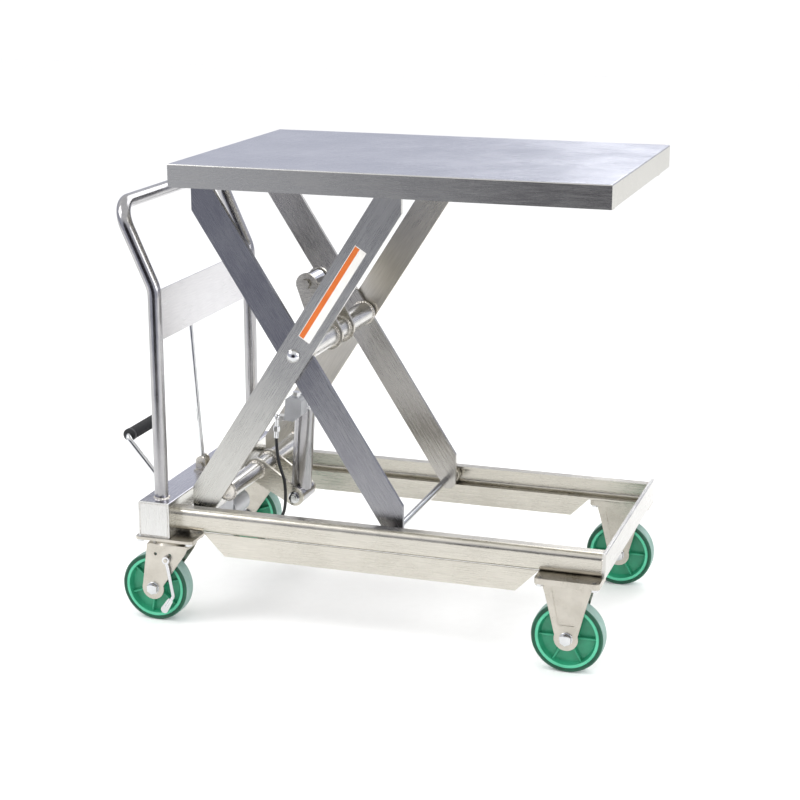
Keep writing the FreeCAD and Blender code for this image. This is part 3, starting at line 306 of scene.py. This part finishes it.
# Welded bars and channels, brushed along X, Y or Z: a shade warmer than the sheet. That warmth is a painted
# reflection of warm bounce light.
BAR_X = BrushedStainless("brushed_stainless_along", "DAD6CC", "B8B4AA", Grain.X, 1.2, 110.0, 0.20, 0.36)
BAR_Y = BrushedStainless("brushed_stainless_across", "DEDDDA", "BDBBB7", Grain.Y, 1.1, 90.0, 0.20, 0.34)
BAR_Z = BrushedStainless("brushed_stainless_upright", "E2E2E0", "C4C3C0", Grain.Z, 1.1, 90.0, 0.22, 0.36)
PANEL = BrushedStainless("brushed_stainless_panel", "E0DFE0", "C6C5C7", Grain.Y, 1.1, 90.0, 0.24, 0.38)
TUBE = BrushedStainless("polished_stainless_tube", "BBBABA", "949396", Grain.Z, 0.9, 60.0, 0.14, 0.27)
# The arms are one steel, brushed along each bar. Their tints differ only as painted light and shade: the inner arms
# are painted darker than the near outer arm, and the far outer arm lighter.
OUTER_ARM = BrushedStainless(
    "brushed_stainless_outer_arm", "D6D5D0", "B6B5B0", Grain.OUTER_ARM, 1.2, 120.0, 0.22, 0.36,
)
# Painted shade: the near inner arm is tinted much darker than the outer arm of the same steel.
INNER_ARM = BrushedStainless(
    "brushed_stainless_inner_arm_painted_shade", "A4A4A6", "7C7C83", Grain.INNER_ARM, 1.2, 120.0, 0.20, 0.34,
)
# Painted light: the far outer arm is tinted lighter than the near one.
FAR_OUTER_ARM = BrushedStainless(
    "brushed_stainless_far_outer_arm_painted_light", "EDE9E0", "CDC9BF", Grain.OUTER_ARM, 1.2, 120.0, 0.24, 0.38,
)
# Painted shade: the far inner arm is tinted darker than the outer arms.
FAR_INNER_ARM = BrushedStainless(
    "brushed_stainless_far_inner_arm_painted_shade", "C2BFBA", "9D9A97", Grain.INNER_ARM, 1.2, 120.0, 0.20, 0.34,
)
# Pressed and passivated sheet: satin, a little warm.
PRESSED = GrainyMetal("passivated_stainless", "D2CDC3", "AEA99F", 0.9, 0.20, 0.38, 0.05)
# Turned and polished pins, rods and bolt heads: close to a mirror.
TURNED = GrainyMetal("polished_stainless_bolt", "DEDFE0", "C6C7C9", 0.5, 0.08, 0.20, 0.02)
# Hard chrome on ground bar.
CHROME = GrainyMetal("hard_chrome", "E4E5E8", "D2D3D7", 0.6, 0.05, 0.12, 0.01)
# Sand-cast aluminium, vapour blasted: pale, matt and pebbled.
CAST = GrainyMetal("blasted_cast_aluminium", "CFD0D2", "B0B1B4", 0.8, 0.42, 0.60, 0.22)
# Stainless filler, left as welded: bright ripples with straw and blue heat tint. The bead is tinted brighter than the
# bars, a painted highlight.
WELD = GrainyMetal("weld_bead_stainless_painted_highlight", "EAE6DE", "C2BDB6", 1.6, 0.18, 0.40, 0.10)
# Moulded nylon wheel centre, polyurethane tread, nitrile hose cover and grip.
CORE = MouldedPolymer("moulded_nylon_green", "35A07A", "2B8C69", 0.9, 0.34, 0.50, 1.53, 0.06)
# Painted light: the wheel centre's rim is tinted a lighter green than its web and hub, though all are one moulding.
CORE_RIM_PAINTED_LIGHT = MouldedPolymer("moulded_nylon_green_rim_painted_light", "5CC49E", "49B38C", 0.9, 0.34, 0.50, 1.53, 0.06)
TREAD_SIDE = MouldedPolymer("polyurethane_green_side", "0E5A40", "083F2D", 0.9, 0.30, 0.48, 1.50, 0.08)
TREAD_FACE = MouldedPolymer("polyurethane_green_scuffed", "93ADA6", "6F8F86", 1.2, 0.50, 0.72, 1.50, 0.16)
HOSE = MouldedPolymer("nitrile_hose_cover", "1E1F22", "111214", 0.7, 0.36, 0.54, 1.52, 0.10)
GRIP = MouldedPolymer("moulded_nitrile_grip", "242528", "141517", 0.8, 0.44, 0.64, 1.52, 0.12)
PAPER = MouldedPolymer("studio_paper", "FAFAFA", "F7F7F7", 3.0, 0.75, 0.85, 1.4, 0.01)
LABEL_WHITE = MouldedPolymer("vinyl_label_white", "ECEAE6", "E0DEDA", 1.0, 0.30, 0.40, 1.50, 0.02)
LABEL_ORANGE = MouldedPolymer("vinyl_label_orange", "D9722C", "CC6423", 1.0, 0.30, 0.40, 1.50, 0.02)

CAD_FINISH: dict[str, Finish] = {
    "deck_pan": DECK_TOP,
    "handle_beam": BEAM, "beam_caps": BAR_Z,
    "handle_tube": TUBE, "handle_panel": PANEL,
    "cross_channel": BAR_Y, "end_plate": BAR_Y, "lower_cross_tube": BAR_Y, "torque_tube": BAR_Y,
    "outer_arm_near": OUTER_ARM, "inner_arm_near": INNER_ARM,
    "outer_arm_far": FAR_OUTER_ARM, "inner_arm_far": FAR_INNER_ARM,
    "swivel_housings": PRESSED, "fixed_pads": PRESSED,
    "valve_block": CAST, "pump_body": CAST,
    "piston_rod": CHROME, "pump_plunger": CHROME, "cylinder_gland": TURNED, "cylinder_barrel": TUBE,
    "pedal_lever": TURNED, "release_rod": TURNED, "release_lever": TURNED,
    "arm_bolts": TURNED, "base_pin": TURNED, "roller_axle": TURNED, "block_fittings": TURNED,
    "caster_bolts": TURNED, "fixed_axles": TURNED,
    "base_rollers": PRESSED, "deck_rollers": PRESSED,
}


class Workshop:
    """Turns a bmesh into a finished, riding piece, and keeps a count."""

    made: int = 0

    @classmethod
    def piece(
        cls,
        name: str,
        bm: bmesh.types.BMesh,
        body: str,
        finishes: Finish | Iterable[Finish],
        replaces: Iterable[str] = (),
        crease: float = 32.0,
    ) -> bpy.types.Object:
        """Make an object from a bmesh, in place, and let it ride on a body.

        Args:
            name: The piece's name.
            bm: Its mesh, in metres in the row frame. It is freed here.
            body: The CAD body that it moves with.
            finishes: One finish, or one for each material number in the mesh.
            replaces: CAD nodes that the piece stands for.
            crease: Edges sharper than this, in degrees, stay sharp.

        Returns:
            The new object.
        """
        bmesh.ops.recalc_face_normals(bm, faces=bm.faces)
        mesh = bpy.data.meshes.new(name)
        bm.to_mesh(mesh)
        bm.free()
        mesh.polygons.foreach_set("use_smooth", [True] * len(mesh.polygons))
        mesh.set_sharp_from_angle(angle=math.radians(crease))
        for finish in [finishes] if isinstance(finishes, Finish) else finishes:
            mesh.materials.append(finish.material())
        made = bpy.data.objects.new(name, mesh)
        bpy.context.scene.collection.objects.link(made)
        if replaces:
            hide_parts(*replaces)
        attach(made, body)
        cls.made += 1
        log.info("%s: %d faces on %s", name, len(mesh.polygons), body)
        return made


def turned(
    bm: bmesh.types.BMesh,
    profile: Iterable[tuple[float, float]],
    centre: Vector,
    axis: Vector,
    steps: int = 48,
) -> list[bmesh.types.BMFace]:
    """Turn a closed profile round an axis, as on a lathe.

    Args:
        bm: The mesh that gets the shape.
        profile: (radius, distance along the axis) pairs, in mm, round the section.
        centre: The profile's origin on the axis, in mm.
        axis: The axis's direction.
        steps: Divisions of the full turn.

    Returns:
        The new faces.
    """
    before = set(bm.faces)
    along = axis.normalized()
    out = along.orthogonal().normalized()
    ring = [bm.verts.new((centre + out * r + along * t) * MM) for r, t in profile]
    edges = [bm.edges.new((ring[k], ring[(k + 1) % len(ring)])) for k in range(len(ring))]
    bmesh.ops.spin(
        bm, geom=ring + edges, cent=centre * MM, axis=along, dvec=(0, 0, 0),
        angle=math.tau, steps=steps, use_merge=True,
    )
    bmesh.ops.remove_doubles(bm, verts=[v for v in bm.verts if v.is_valid], dist=0.00001)
    return [f for f in bm.faces if f not in before]


def facing(axis: Vector) -> Matrix:
    """A turn that takes +Z onto an axis."""
    return Vector((0, 0, 1)).rotation_difference(axis.normalized()).to_matrix().to_4x4()


def hex_head(
    bm: bmesh.types.BMesh, base: Vector, axis: Vector, across: float, height: float, washer: float = 0.0
) -> None:
    """Add a chamfered hexagon head or nut, with a washer under it if that has a thickness.

    Args:
        bm: The mesh that gets it.
        base: Where its underside, or its washer's, meets the work, in mm.
        axis: The way that it faces.
        across: The width across flats, in mm.
        height: The head's height, in mm.
        washer: The washer's thickness, in mm.
    """
    way = axis.normalized()
    middle = (base + way * (washer + height / 2)) * MM
    radius = across / math.sqrt(3) * MM
    made = bmesh.ops.create_cone(
        bm, cap_ends=True, segments=6, radius1=radius, radius2=radius, depth=height * MM,
        matrix=Matrix.Translation(middle) @ facing(way),
    )
    rims = {e for v in made["verts"] for e in v.link_edges if len(e.link_faces) == 2
            and {len(f.verts) for f in e.link_faces} == {4, 6}}
    bmesh.ops.bevel(
        bm, geom=list(rims), offset=across * 0.055 * MM, affect="EDGES", segments=2, profile=0.5, material=-1,
    )
    if washer:
        wide = across * 0.62
        edge = washer * 0.25
        turned(
            bm, [(across * 0.3, 0), (wide, 0), (wide, washer - edge), (wide - edge, washer), (across * 0.3, washer)],
            base, way, 32,
        )


def weld_ring(bm: bmesh.types.BMesh, centre: Vector, axis: Vector, radius: float, bead: float, ripples: int) -> None:
    """Add a rippled weld bead round a bar where it meets a face.

    Args:
        bm: The mesh that gets it.
        centre: The centre of the joint line, in mm.
        axis: The bar's direction.
        radius: The joint line's radius, in mm.
        bead: The bead's half width, in mm.
        ripples: Pools round the full turn.
    """
    way = axis.normalized()
    out = way.orthogonal().normalized()
    side = way.cross(out)
    section = bmesh.ops.create_circle(
        bm, segments=8, radius=bead * MM,
        matrix=Matrix.Translation((centre + out * radius) * MM) @ facing(side),
    )["verts"]
    edges = list({e for v in section for e in v.link_edges})
    steps = ripples * 6
    bmesh.ops.spin(
        bm, geom=section + edges, cent=centre * MM, axis=way, dvec=(0, 0, 0), angle=math.tau,
        steps=steps, use_merge=True,
    )
    for vert in bm.verts:
        arm = vert.co / MM - centre
        flat = arm - way * arm.dot(way)
        if abs(flat.length - radius) < bead * 1.2 and abs(arm.dot(way)) < bead * 1.2:
            turn = math.atan2(flat.dot(side), flat.dot(out))
            swell = 1.0 + 0.13 * math.cos(ripples * turn)
            core = centre + flat.normalized() * radius
            vert.co = (core + (vert.co / MM - core) * swell) * MM


def weld_line(bm: bmesh.types.BMesh, start: Vector, end: Vector, bead: float) -> None:
    """Add a straight rippled weld bead, tapered at its ends.

    Args:
        bm: The mesh that gets it.
        start: Where it starts, in mm.
        end: Where it ends, in mm.
        bead: Its half width, in mm.
    """
    run = end - start
    pools = max(3, round(run.length / (bead * 1.1)))
    steps = pools * 4
    made = bmesh.ops.create_circle(
        bm, segments=8, radius=bead * MM, cap_ends=True, matrix=Matrix.Translation(start * MM) @ facing(run),
    )["verts"]
    rings = [made]
    edges = list({e for v in made for e in v.link_edges})
    for _ in range(steps):
        grown = bmesh.ops.extrude_edge_only(bm, edges=edges)["geom"]
        verts = [g for g in grown if isinstance(g, bmesh.types.BMVert)]
        edges = [g for g in grown if isinstance(g, bmesh.types.BMEdge)]
        bmesh.ops.translate(bm, verts=verts, vec=run * MM / steps)
        rings.append(verts)
    bmesh.ops.contextual_create(bm, geom=edges)
    for k, verts in enumerate(rings):
        middle = (start + run * k / steps) * MM
        end_taper = min(1.0, 0.35 + min(k, steps - k) * 0.3)
        swell = end_taper * (1.0 + 0.12 * math.cos(math.tau * k / 4))
        for vert in verts:
            vert.co = middle + (vert.co - middle) * swell


@dataclass
class Caster:
    """One caster's wheel and bolts, in front of its CAD fork."""

    kind: str
    side: str
    axle: Vector
    rides_on: str
    radius: float = 63.5
    tread: float = 7.8
    width: float = 32.0
    hub_radius: float = 17.0
    hub_width: float = 35.0
    web: float = 7.0
    bore: float = 6.05
    ribs: int = 6
    rib_turn: float = 0.0
    axis: Vector = field(default_factory=lambda: Vector((0, 1, 0)))

    @property
    def wheel_body(self) -> str:
        """The body that the wheel is."""
        return f"{self.kind}_wheel_{self.side}"

    def build(self) -> None:
        """Make the tread, the centre and the axle bolt."""
        self.make_tread()
        self.make_centre()
        self.make_axle()

    def make_tread(self) -> None:
        """A crowned tread with rounded shoulders and a moulding line in each side."""
        r, h, inner = self.radius, self.width / 2, self.radius - self.tread
        half = [
            (inner, h - 0.6), (inner + 0.8, h), (inner + 2.0, h), (inner + 2.4, h - 0.5), (inner + 3.0, h - 0.5),
            (inner + 3.4, h), (r - 3.6, h - 0.1), (r - 2.0, h - 0.9), (r - 0.9, h - 2.3), (r - 0.25, h - 4.6),
            (r - 0.05, h - 9.0), (r, 0.0),
        ]
        profile = half + [(a, -b) for a, b in reversed(half[:-1])]
        bm = bmesh.new()
        turned(bm, profile, self.axle, self.axis, 96)
        for face in bm.faces:
            arm = face.calc_center_median() / MM - self.axle
            reach = math.hypot(arm.x, arm.z)
            face.material_index = 1 if reach > r - 0.7 else 0
        Workshop.piece(
            f"tread_{self.kind}_{self.side}", bm, self.wheel_body, [TREAD_SIDE, TREAD_FACE],
            [f"{self.kind}_tread_{self.side}"], 40,
        )

    def make_centre(self) -> None:
        """A moulded rim, web and hub in one turning, with tapered ribs on both faces."""
        rim, h, w = self.radius - self.tread, self.width / 2, self.web / 2
        hub, end, inside = self.hub_radius, self.hub_width / 2, self.radius - self.tread - 5.5
        half = [
            (rim, h - 1.0), (rim - 0.8, h), (inside + 0.9, h), (inside, h - 0.9), (inside - 1.2, w + 3.0),
            (inside - 3.5, w), (hub + 3.5, w), (hub + 1.0, w + 3.0), (hub, end - 1.0), (hub - 1.0, end),
            (self.bore + 0.8, end), (self.bore, end - 0.8),
        ]
        profile = half + [(a, -b) for a, b in reversed(half)]
        bm = bmesh.new()
        turned(bm, profile, self.axle, self.axis, 72)
        for face in bm.faces:
            arm = face.calc_center_median() / MM - self.axle
            # Painted light: faces at the rim get the lighter green.
            if math.hypot(arm.x, arm.z) > inside - 0.2:
                face.material_index = 1
        for k in range(self.ribs):
            self.add_rib(bm, math.tau * k / self.ribs + math.radians(self.rib_turn), inside)
        Workshop.piece(
            f"centre_{self.kind}_{self.side}", bm, self.wheel_body, [CORE, CORE_RIM_PAINTED_LIGHT],
            [f"{self.kind}_core_{self.side}"], 35,
        )

    def add_rib(self, bm: bmesh.types.BMesh, angle: float, inside: float) -> None:
        """Add one rib right through the web: a bevelled, tapered bar.

        Args:
            bm: The wheel centre's mesh.
            angle: The rib's turn about the axle, in radians.
            inside: The rim's inner radius, in mm.
        """
        length = inside - self.hub_radius + 4.0
        made = bmesh.ops.create_cube(bm, size=MM)["verts"]
        bmesh.ops.scale(bm, vec=(length, self.width - 9.0, 3.6), verts=made)
        for vert in made:
            if vert.co.x > 0:
                vert.co.z *= 0.8
                vert.co.y *= 0.94
        bmesh.ops.translate(bm, vec=((self.hub_radius - 2.0 + length / 2) * MM, 0, 0), verts=made)
        edges = list({e for v in made for e in v.link_edges})
        grown = bmesh.ops.bevel(
            bm, geom=edges, offset=0.7 * MM, affect="EDGES", segments=2, profile=0.5, material=-1,
        )["verts"]
        verts = list(set(v for v in made if v.is_valid) | set(grown))
        bmesh.ops.rotate(bm, verts=verts, cent=(0, 0, 0), matrix=Matrix.Rotation(angle, 3, "Y"))
        bmesh.ops.translate(bm, verts=verts, vec=self.axle * MM)

    def make_axle(self) -> None:
        """A hexagon bolt with washers, and a locking nut with the bolt's end showing."""
        way = self.axis if self.side == "near" else -self.axis
        face = self.hub_width / 2 + 5.0
        bm = bmesh.new()
        head = self.axle - way * face
        hex_head(bm, head, -way, 19.0, 6.0, 1.0)
        tail = self.axle + way * face
        hex_head(bm, tail, way, 19.0, 6.0, 1.0)
        shank = [(0.01, -face), (6.0, -face), (6.0, face + 8.3), (5.2, face + 9.0), (0.01, face + 9.0)]
        turned(bm, shank, self.axle, way, 24)
        hidden = [f"swivel_axle_{self.side}"] if self.kind == "swivel" else []
        if self.kind == "fixed" and self.side == "near":
            hidden = ["fixed_axles"]
        Workshop.piece(f"axle_{self.kind}_{self.side}", bm, self.rides_on, TURNED, hidden)


@dataclass
class Grips:
    """The pedal bar's ribbed rubber sleeve."""

    x: float = -468.0
    z: float = 295.0
    y0: float = -75.0
    y1: float = 45.0
    radius: float = 12.5
    bar: float = 5.5
    pitch: float = 4.6

    def build(self) -> None:
        """A collar at the near end, then round ribs along the sleeve and a domed far end."""
        profile = [
            (self.bar, 0.0), (self.radius - 1.5, 0.0), (self.radius, 1.2), (self.radius, 7.4),
            (self.radius - 1.2, 8.8),
        ]
        y = 10.4
        while y + self.pitch < self.y1 - self.y0 - 6.0:
            profile += [
                (self.radius - 2.3, y), (self.radius - 2.3, y + 0.9), (self.radius - 1.0, y + 1.5),
                (self.radius - 0.7, y + 2.6), (self.radius - 1.0, y + 3.7),
            ]
            y += self.pitch
        end = self.y1 - self.y0
        profile += [
            (self.radius - 1.4, end - 5.0), (self.radius - 2.2, end - 1.6), (self.radius - 5.0, end - 0.2),
            (0.01, end), (0.01, end - 6.0), (self.bar, end - 6.0),
        ]
        bm = bmesh.new()
        turned(bm, profile, Vector((self.x, self.y0, self.z)), Vector((0, 1, 0)), 40)
        Workshop.piece("pedal_sleeve", bm, "pedal", GRIP, ["pedal_grip"], 50)


@dataclass
class HoseRun:
    """One half of the hydraulic hose: a smooth tube along its corners."""

    name: str
    node: str
    corners: tuple[tuple[float, float, float], ...]
    first_body: str
    second_body: str
    pivot: Vector = field(default_factory=lambda: Vector((-273.0, 0.0, 190.4)))
    radius: float = 3.0

    def build(self) -> None:
        """Make the spline and take its tube as a mesh, fixed where it lies; its two bodies are only named in the log.
        """
        curve = bpy.data.curves.new(self.name + "_line", "CURVE")
        curve.dimensions = "3D"
        spline = curve.splines.new("NURBS")
        spline.points.add(len(self.corners) - 1)
        for point, corner in zip(spline.points, self.corners):
            point.co = (*((self.pivot + Vector(corner)) * MM), 1.0)
        spline.order_u = 3
        spline.use_endpoint_u = True
        spline.resolution_u = 12
        curve.bevel_depth = self.radius * MM
        curve.bevel_resolution = 4
        curve.use_fill_caps = True
        line = bpy.data.objects.new(self.name + "_line", curve)
        bpy.context.scene.collection.objects.link(line)
        bpy.context.view_layer.update()
        mesh = bpy.data.meshes.new_from_object(line)
        bpy.data.objects.remove(line)
        mesh.name = self.name
        mesh.materials.clear()
        mesh.materials.append(HOSE.material())
        mesh.polygons.foreach_set("use_smooth", [True] * len(mesh.polygons))
        tube = bpy.data.objects.new(self.name, mesh)
        bpy.context.scene.collection.objects.link(tube)
        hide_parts(self.node)
        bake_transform(tube)
        log.info("%s: a hose between %s and %s", self.name, self.first_body, self.second_body)


@dataclass
class LiftArms:
    """Dressing on the scissor arms: the label, the welds on the cross tubes and the plugs in the lower tube's ends.
    """

    centre: Vector = field(default_factory=lambda: Vector((-94.0, 0.0, 500.9)))
    outer_face: float = 177.0
    angle: float = 57.4
    label_span: tuple[float, float] = (37.0, 233.0)

    def build(self) -> None:
        """Make all of them."""
        self.make_label()
        self.make_welds()
        self.make_tube_ends()

    def make_tube_ends(self) -> None:
        """Dished plugs welded into the lower cross tube's ends."""
        bm = bmesh.new()
        for side in (-1, 1):
            profile = [(0.01, 0.0), (13.2, 0.0), (15.4, 1.4), (15.6, 2.6), (13.0, 3.0), (9.0, 2.2), (0.01, 2.0)]
            turned(bm, profile, Vector((-228.0, side * 166.3, 238.0)), Vector((0, side, 0)), 40)
        Workshop.piece("tube_end_plugs", bm, "outer_arms", WELD)

    def make_label(self) -> None:
        """A long vinyl label up the near outer arm: an orange band beside a white block, both blank."""
        angle = math.radians(self.angle)
        along = Vector((math.cos(angle), 0, math.sin(angle)))
        across = Vector((-along.z, 0, along.x))
        start, end = self.label_span
        middle = self.centre + along * (start + end) / 2 + Vector((0, -self.outer_face, 0))
        bm = bmesh.new()
        for low, high, inset, number in ((-13.0, 11.0, 0.0, 0), (0.5, 10.0, 1.2, 1)):
            made = bmesh.ops.create_cube(bm, size=1.0)["verts"]
            deep = 0.30 if number else 0.22
            bmesh.ops.scale(bm, vec=(end - start - 2 * inset, deep, high - low), verts=made)
            bmesh.ops.translate(bm, vec=(0, -deep / 2, (low + high) / 2), verts=made)
            for face in {f for v in made for f in v.link_faces}:
                face.material_index = number
        for vert in bm.verts:
            vert.co = (middle + along * vert.co.x + across * vert.co.z + Vector((0, vert.co.y, 0))) * MM
        Workshop.piece("arm_label", bm, "outer_arms", [LABEL_WHITE, LABEL_ORANGE])

    def make_welds(self) -> None:
        """Beads where the cross tubes meet the arms and the cylinder's brackets."""
        bm = bmesh.new()
        for y in (-159.0, 159.0, -34.0, -28.0, 28.0, 34.0):
            weld_ring(bm, Vector((-82.0, y, 508.0)), Vector((0, 1, 0)), 21.0, 2.4, 26)
        Workshop.piece("weld_torque_tube", bm, "inner_arms", WELD)
        bm = bmesh.new()
        for y in (-169.0, 169.0, -34.0, -28.0, 28.0, 34.0):
            weld_ring(bm, Vector((-228.0, y, 238.0)), Vector((0, 1, 0)), 16.0, 2.2, 20)
        Workshop.piece("weld_lower_tube", bm, "outer_arms", WELD)


@dataclass
class BaseFrame:
    """Welds on the base frame and the handle."""

    beam_top: float = 228.7
    handle_x: float = -338.0
    post_y: float = 212.0
    post_radius: float = 12.5
    nose_x: float = 471.0
    rail_y: float = 215.4
    rail_z0: float = 169.7
    rail_z1: float = 211.1

    def build(self) -> None:
        """Beads at the post feet and where the rails meet the end plate."""
        bm = bmesh.new()
        for side in (-1, 1):
            foot = Vector((self.handle_x, side * self.post_y, self.beam_top))
            weld_ring(bm, foot, Vector((0, 0, 1)), self.post_radius, 2.6, 20)
        Workshop.piece("weld_post_feet", bm, "chassis", WELD)
        bm = bmesh.new()
        for side in (-1, 1):
            y = side * self.rail_y
            weld_line(bm, Vector((self.nose_x, y, self.rail_z0 + 8)), Vector((self.nose_x, y, self.rail_z1 - 8)), 2.0)
            over = Vector((self.nose_x, y - side * 8, self.rail_z1))
            inside = Vector((self.nose_x, y - side * 24, self.rail_z1))
            weld_line(bm, over, inside, 2.0)
        Workshop.piece("weld_rail_ends", bm, "chassis", WELD)
        self.make_cap_seams()

    def make_cap_seams(self) -> None:
        """The ground seam round each of the beam's end caps, a little inside the beam's corners."""
        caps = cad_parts["beam_caps"]
        corners = [caps.matrix_world @ Vector(c) / MM for c in caps.bound_box]
        low = Vector([min(c[k] for c in corners) for k in range(3)])
        high = Vector([max(c[k] for c in corners) for k in range(3)])
        inset = 3.2
        bm = bmesh.new()
        for y in (low.y + 0.3, high.y - 0.3):
            x0, x1, z0, z1 = low.x + inset, high.x - inset, low.z + inset, high.z - inset
            ring = [Vector((x, y, z)) for x, z in ((x0, z0), (x1, z0), (x1, z1), (x0, z1))]
            for k, start in enumerate(ring):
                weld_line(bm, start, ring[(k + 1) % len(ring)], 0.8)
        Workshop.piece("weld_cap_seams", bm, "chassis", WELD)


@dataclass
class Studio:
    """Floor, lights, sky and camera."""

    eye: Vector = field(default_factory=lambda: Vector((1045.7, -3053.7, 1265.9)))
    target: Vector = field(default_factory=lambda: Vector((44.0, 0.0, 387.8)))
    lens: float = 82.28
    dark_way: tuple[float, float, float] = (0.10, -0.995, 0.0)

    def build(self) -> None:
        """Make them all."""
        bpy.context.scene.view_settings.view_transform = "Standard"
        self.make_floor()
        self.make_sky()
        for name, spot, size, power in (
            ("key_softbox", (-2200.0, -1300.0, 2600.0), 1600.0, 42.0),
            ("fill_softbox", (2800.0, -700.0, 1600.0), 1500.0, 30.0),
            ("back_softbox", (500.0, 2600.0, 2600.0), 2000.0, 34.0),
        ):
            self.make_light(name, Vector(spot), size, power)
        self.make_camera()

    def make_floor(self) -> None:
        """A pale, matt floor that stops a little way in front of the table."""
        bm = bmesh.new()
        bmesh.ops.create_grid(bm, x_segments=1, y_segments=1, size=1.0)
        bmesh.ops.scale(bm, vec=(9.0, 6.0, 1.0), verts=bm.verts)
        bmesh.ops.translate(bm, vec=(0.0, 4.6, 0.0), verts=bm.verts)
        mesh = bpy.data.meshes.new("floor")
        bm.to_mesh(mesh)
        bm.free()
        mesh.materials.append(PAPER.material())
        floor = bpy.data.objects.new("floor", mesh)
        bpy.context.scene.collection.objects.link(floor)

    def make_sky(self) -> None:
        """A white cove all round, with a dark studio beyond its open near side."""
        world = bpy.data.worlds.new("studio_cove")
        bpy.context.scene.world = world
        world.use_nodes = True
        tree = world.node_tree
        tree.nodes.clear()
        way = add_node(tree, "ShaderNodeTexCoord")
        toward = add_node(
            tree, "ShaderNodeVectorMath", {"operation": "DOT_PRODUCT", 1: self.dark_way},
            {0: way.outputs["Generated"]},
        )
        dark = add_node(
            tree, "ShaderNodeMapRange", {"interpolation_type": "SMOOTHSTEP", "From Min": 0.84, "From Max": 0.94},
            {"Value": toward.outputs["Value"]},
        )
        height = add_node(tree, "ShaderNodeSeparateXYZ", links={0: way.outputs["Generated"]})
        lift = add_node(tree, "ShaderNodeMapRange", {"From Min": 0.15, "From Max": 0.7}, {"Value": height.outputs[2]})
        cove = add_node(
            tree, "ShaderNodeMix", {"data_type": "RGBA", 6: linear("CDD0DE"), 7: linear("FFFFFF")},
            {0: lift.outputs[0]},
        )
        tint = add_node(
            tree, "ShaderNodeMix", {"data_type": "RGBA", 7: linear("2E2B33")},
            {0: dark.outputs[0], 6: cove.outputs[2]},
        )
        studio = add_node(tree, "ShaderNodeBackground", {"Strength": 1.0}, {"Color": tint.outputs[2]})
        paper = add_node(tree, "ShaderNodeBackground", {"Color": linear("FFFFFF"), "Strength": 1.12})
        path = add_node(tree, "ShaderNodeLightPath")
        plain = add_node(
            tree, "ShaderNodeMath", {"operation": "ADD", "use_clamp": True},
            {0: path.outputs["Is Camera Ray"], 1: path.outputs["Is Diffuse Ray"]},
        )
        both = add_node(
            tree, "ShaderNodeMixShader",
            links={0: plain.outputs[0], 1: studio.outputs[0], 2: paper.outputs[0]},
        )
        add_node(tree, "ShaderNodeOutputWorld", links={"Surface": both.outputs[0]})

    def make_light(self, name: str, spot: Vector, size: float, power: float) -> None:
        """Add one square softbox that faces the table.

        Args:
            name: Its name.
            spot: Where it hangs, in mm.
            size: Its side, in mm.
            power: Its power, in watts.
        """
        light = bpy.data.lights.new(name, "AREA")
        light.size = size * MM
        light.energy = power
        box = bpy.data.objects.new(name, light)
        box.location = spot * MM
        box.rotation_euler = (self.target * MM - box.location).to_track_quat("-Z", "Y").to_euler()
        bpy.context.scene.collection.objects.link(box)

    def make_camera(self) -> None:
        """Place the camera and make it the scene's."""
        data = bpy.data.cameras.new("camera")
        data.lens = self.lens
        data.clip_end = 60.0
        camera = bpy.data.objects.new("camera", data)
        camera.location = self.eye * MM
        camera.rotation_euler = (self.target * MM - camera.location).to_track_quat("-Z", "Y").to_euler()
        bpy.context.scene.collection.objects.link(camera)
        bpy.context.scene.camera = camera


def dress_cad() -> None:
    """Give every CAD node its finish."""
    for name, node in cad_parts.items():
        finish = CAD_FINISH.get(name, BAR_X)
        if "fork" in name or "brake" in name:
            finish = PRESSED if "fork" in name else TURNED
        for place in node.material_slots:
            place.material = finish.material()
        if not node.material_slots:
            node.data.materials.append(finish.material())


HOSE_UPPER = (
    (91.5, -46, 118.1), (93, -48, 89.6), (101.2, -52, 60.6), (111.3, -54.5, 37.6), (111.3, -54.5, 12.6),
)
HOSE_LOWER = (
    (111.3, -54.5, 12.6), (111.3, -54.5, -13.4), (99.3, -50, -38.4), (75.3, -44, -53.4),
    (48.3, -39, -60.4), (21.3, -34, -58.4), (-1.7, -32, -54.4),
)


def casters() -> list[Caster]:
    """The four casters, at their CAD axles."""
    made = []
    for side, y in (("near", -218.0), ("far", 218.0)):
        made.append(Caster("swivel", side, Vector((-348.0, y, 63.5)), f"swivel_{side}", rib_turn=40.0))
        made.append(Caster("fixed", side, Vector((417.0, y, 63.5)), "chassis"))
    return made


def main() -> None:
    """Dress the CAD nodes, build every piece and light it."""
    dress_cad()
    builders: list[Callable[[], None]] = [part.build for part in casters()]
    builders += [
        Grips().build,
        HoseRun("hose_to_block", "hose_upper", HOSE_UPPER, "barrel", "outer_arms").build,
        HoseRun("hose_to_pump", "hose_lower", HOSE_LOWER, "outer_arms", "chassis").build,
        LiftArms().build,
        BaseFrame().build,
        Studio().build,
    ]
    for build in builders:
        build()
    log.info("%d pieces made", Workshop.made)


if __name__ == "__main__":
    logging.basicConfig(level=logging.INFO, format="%(name)s %(message)s")
    main()
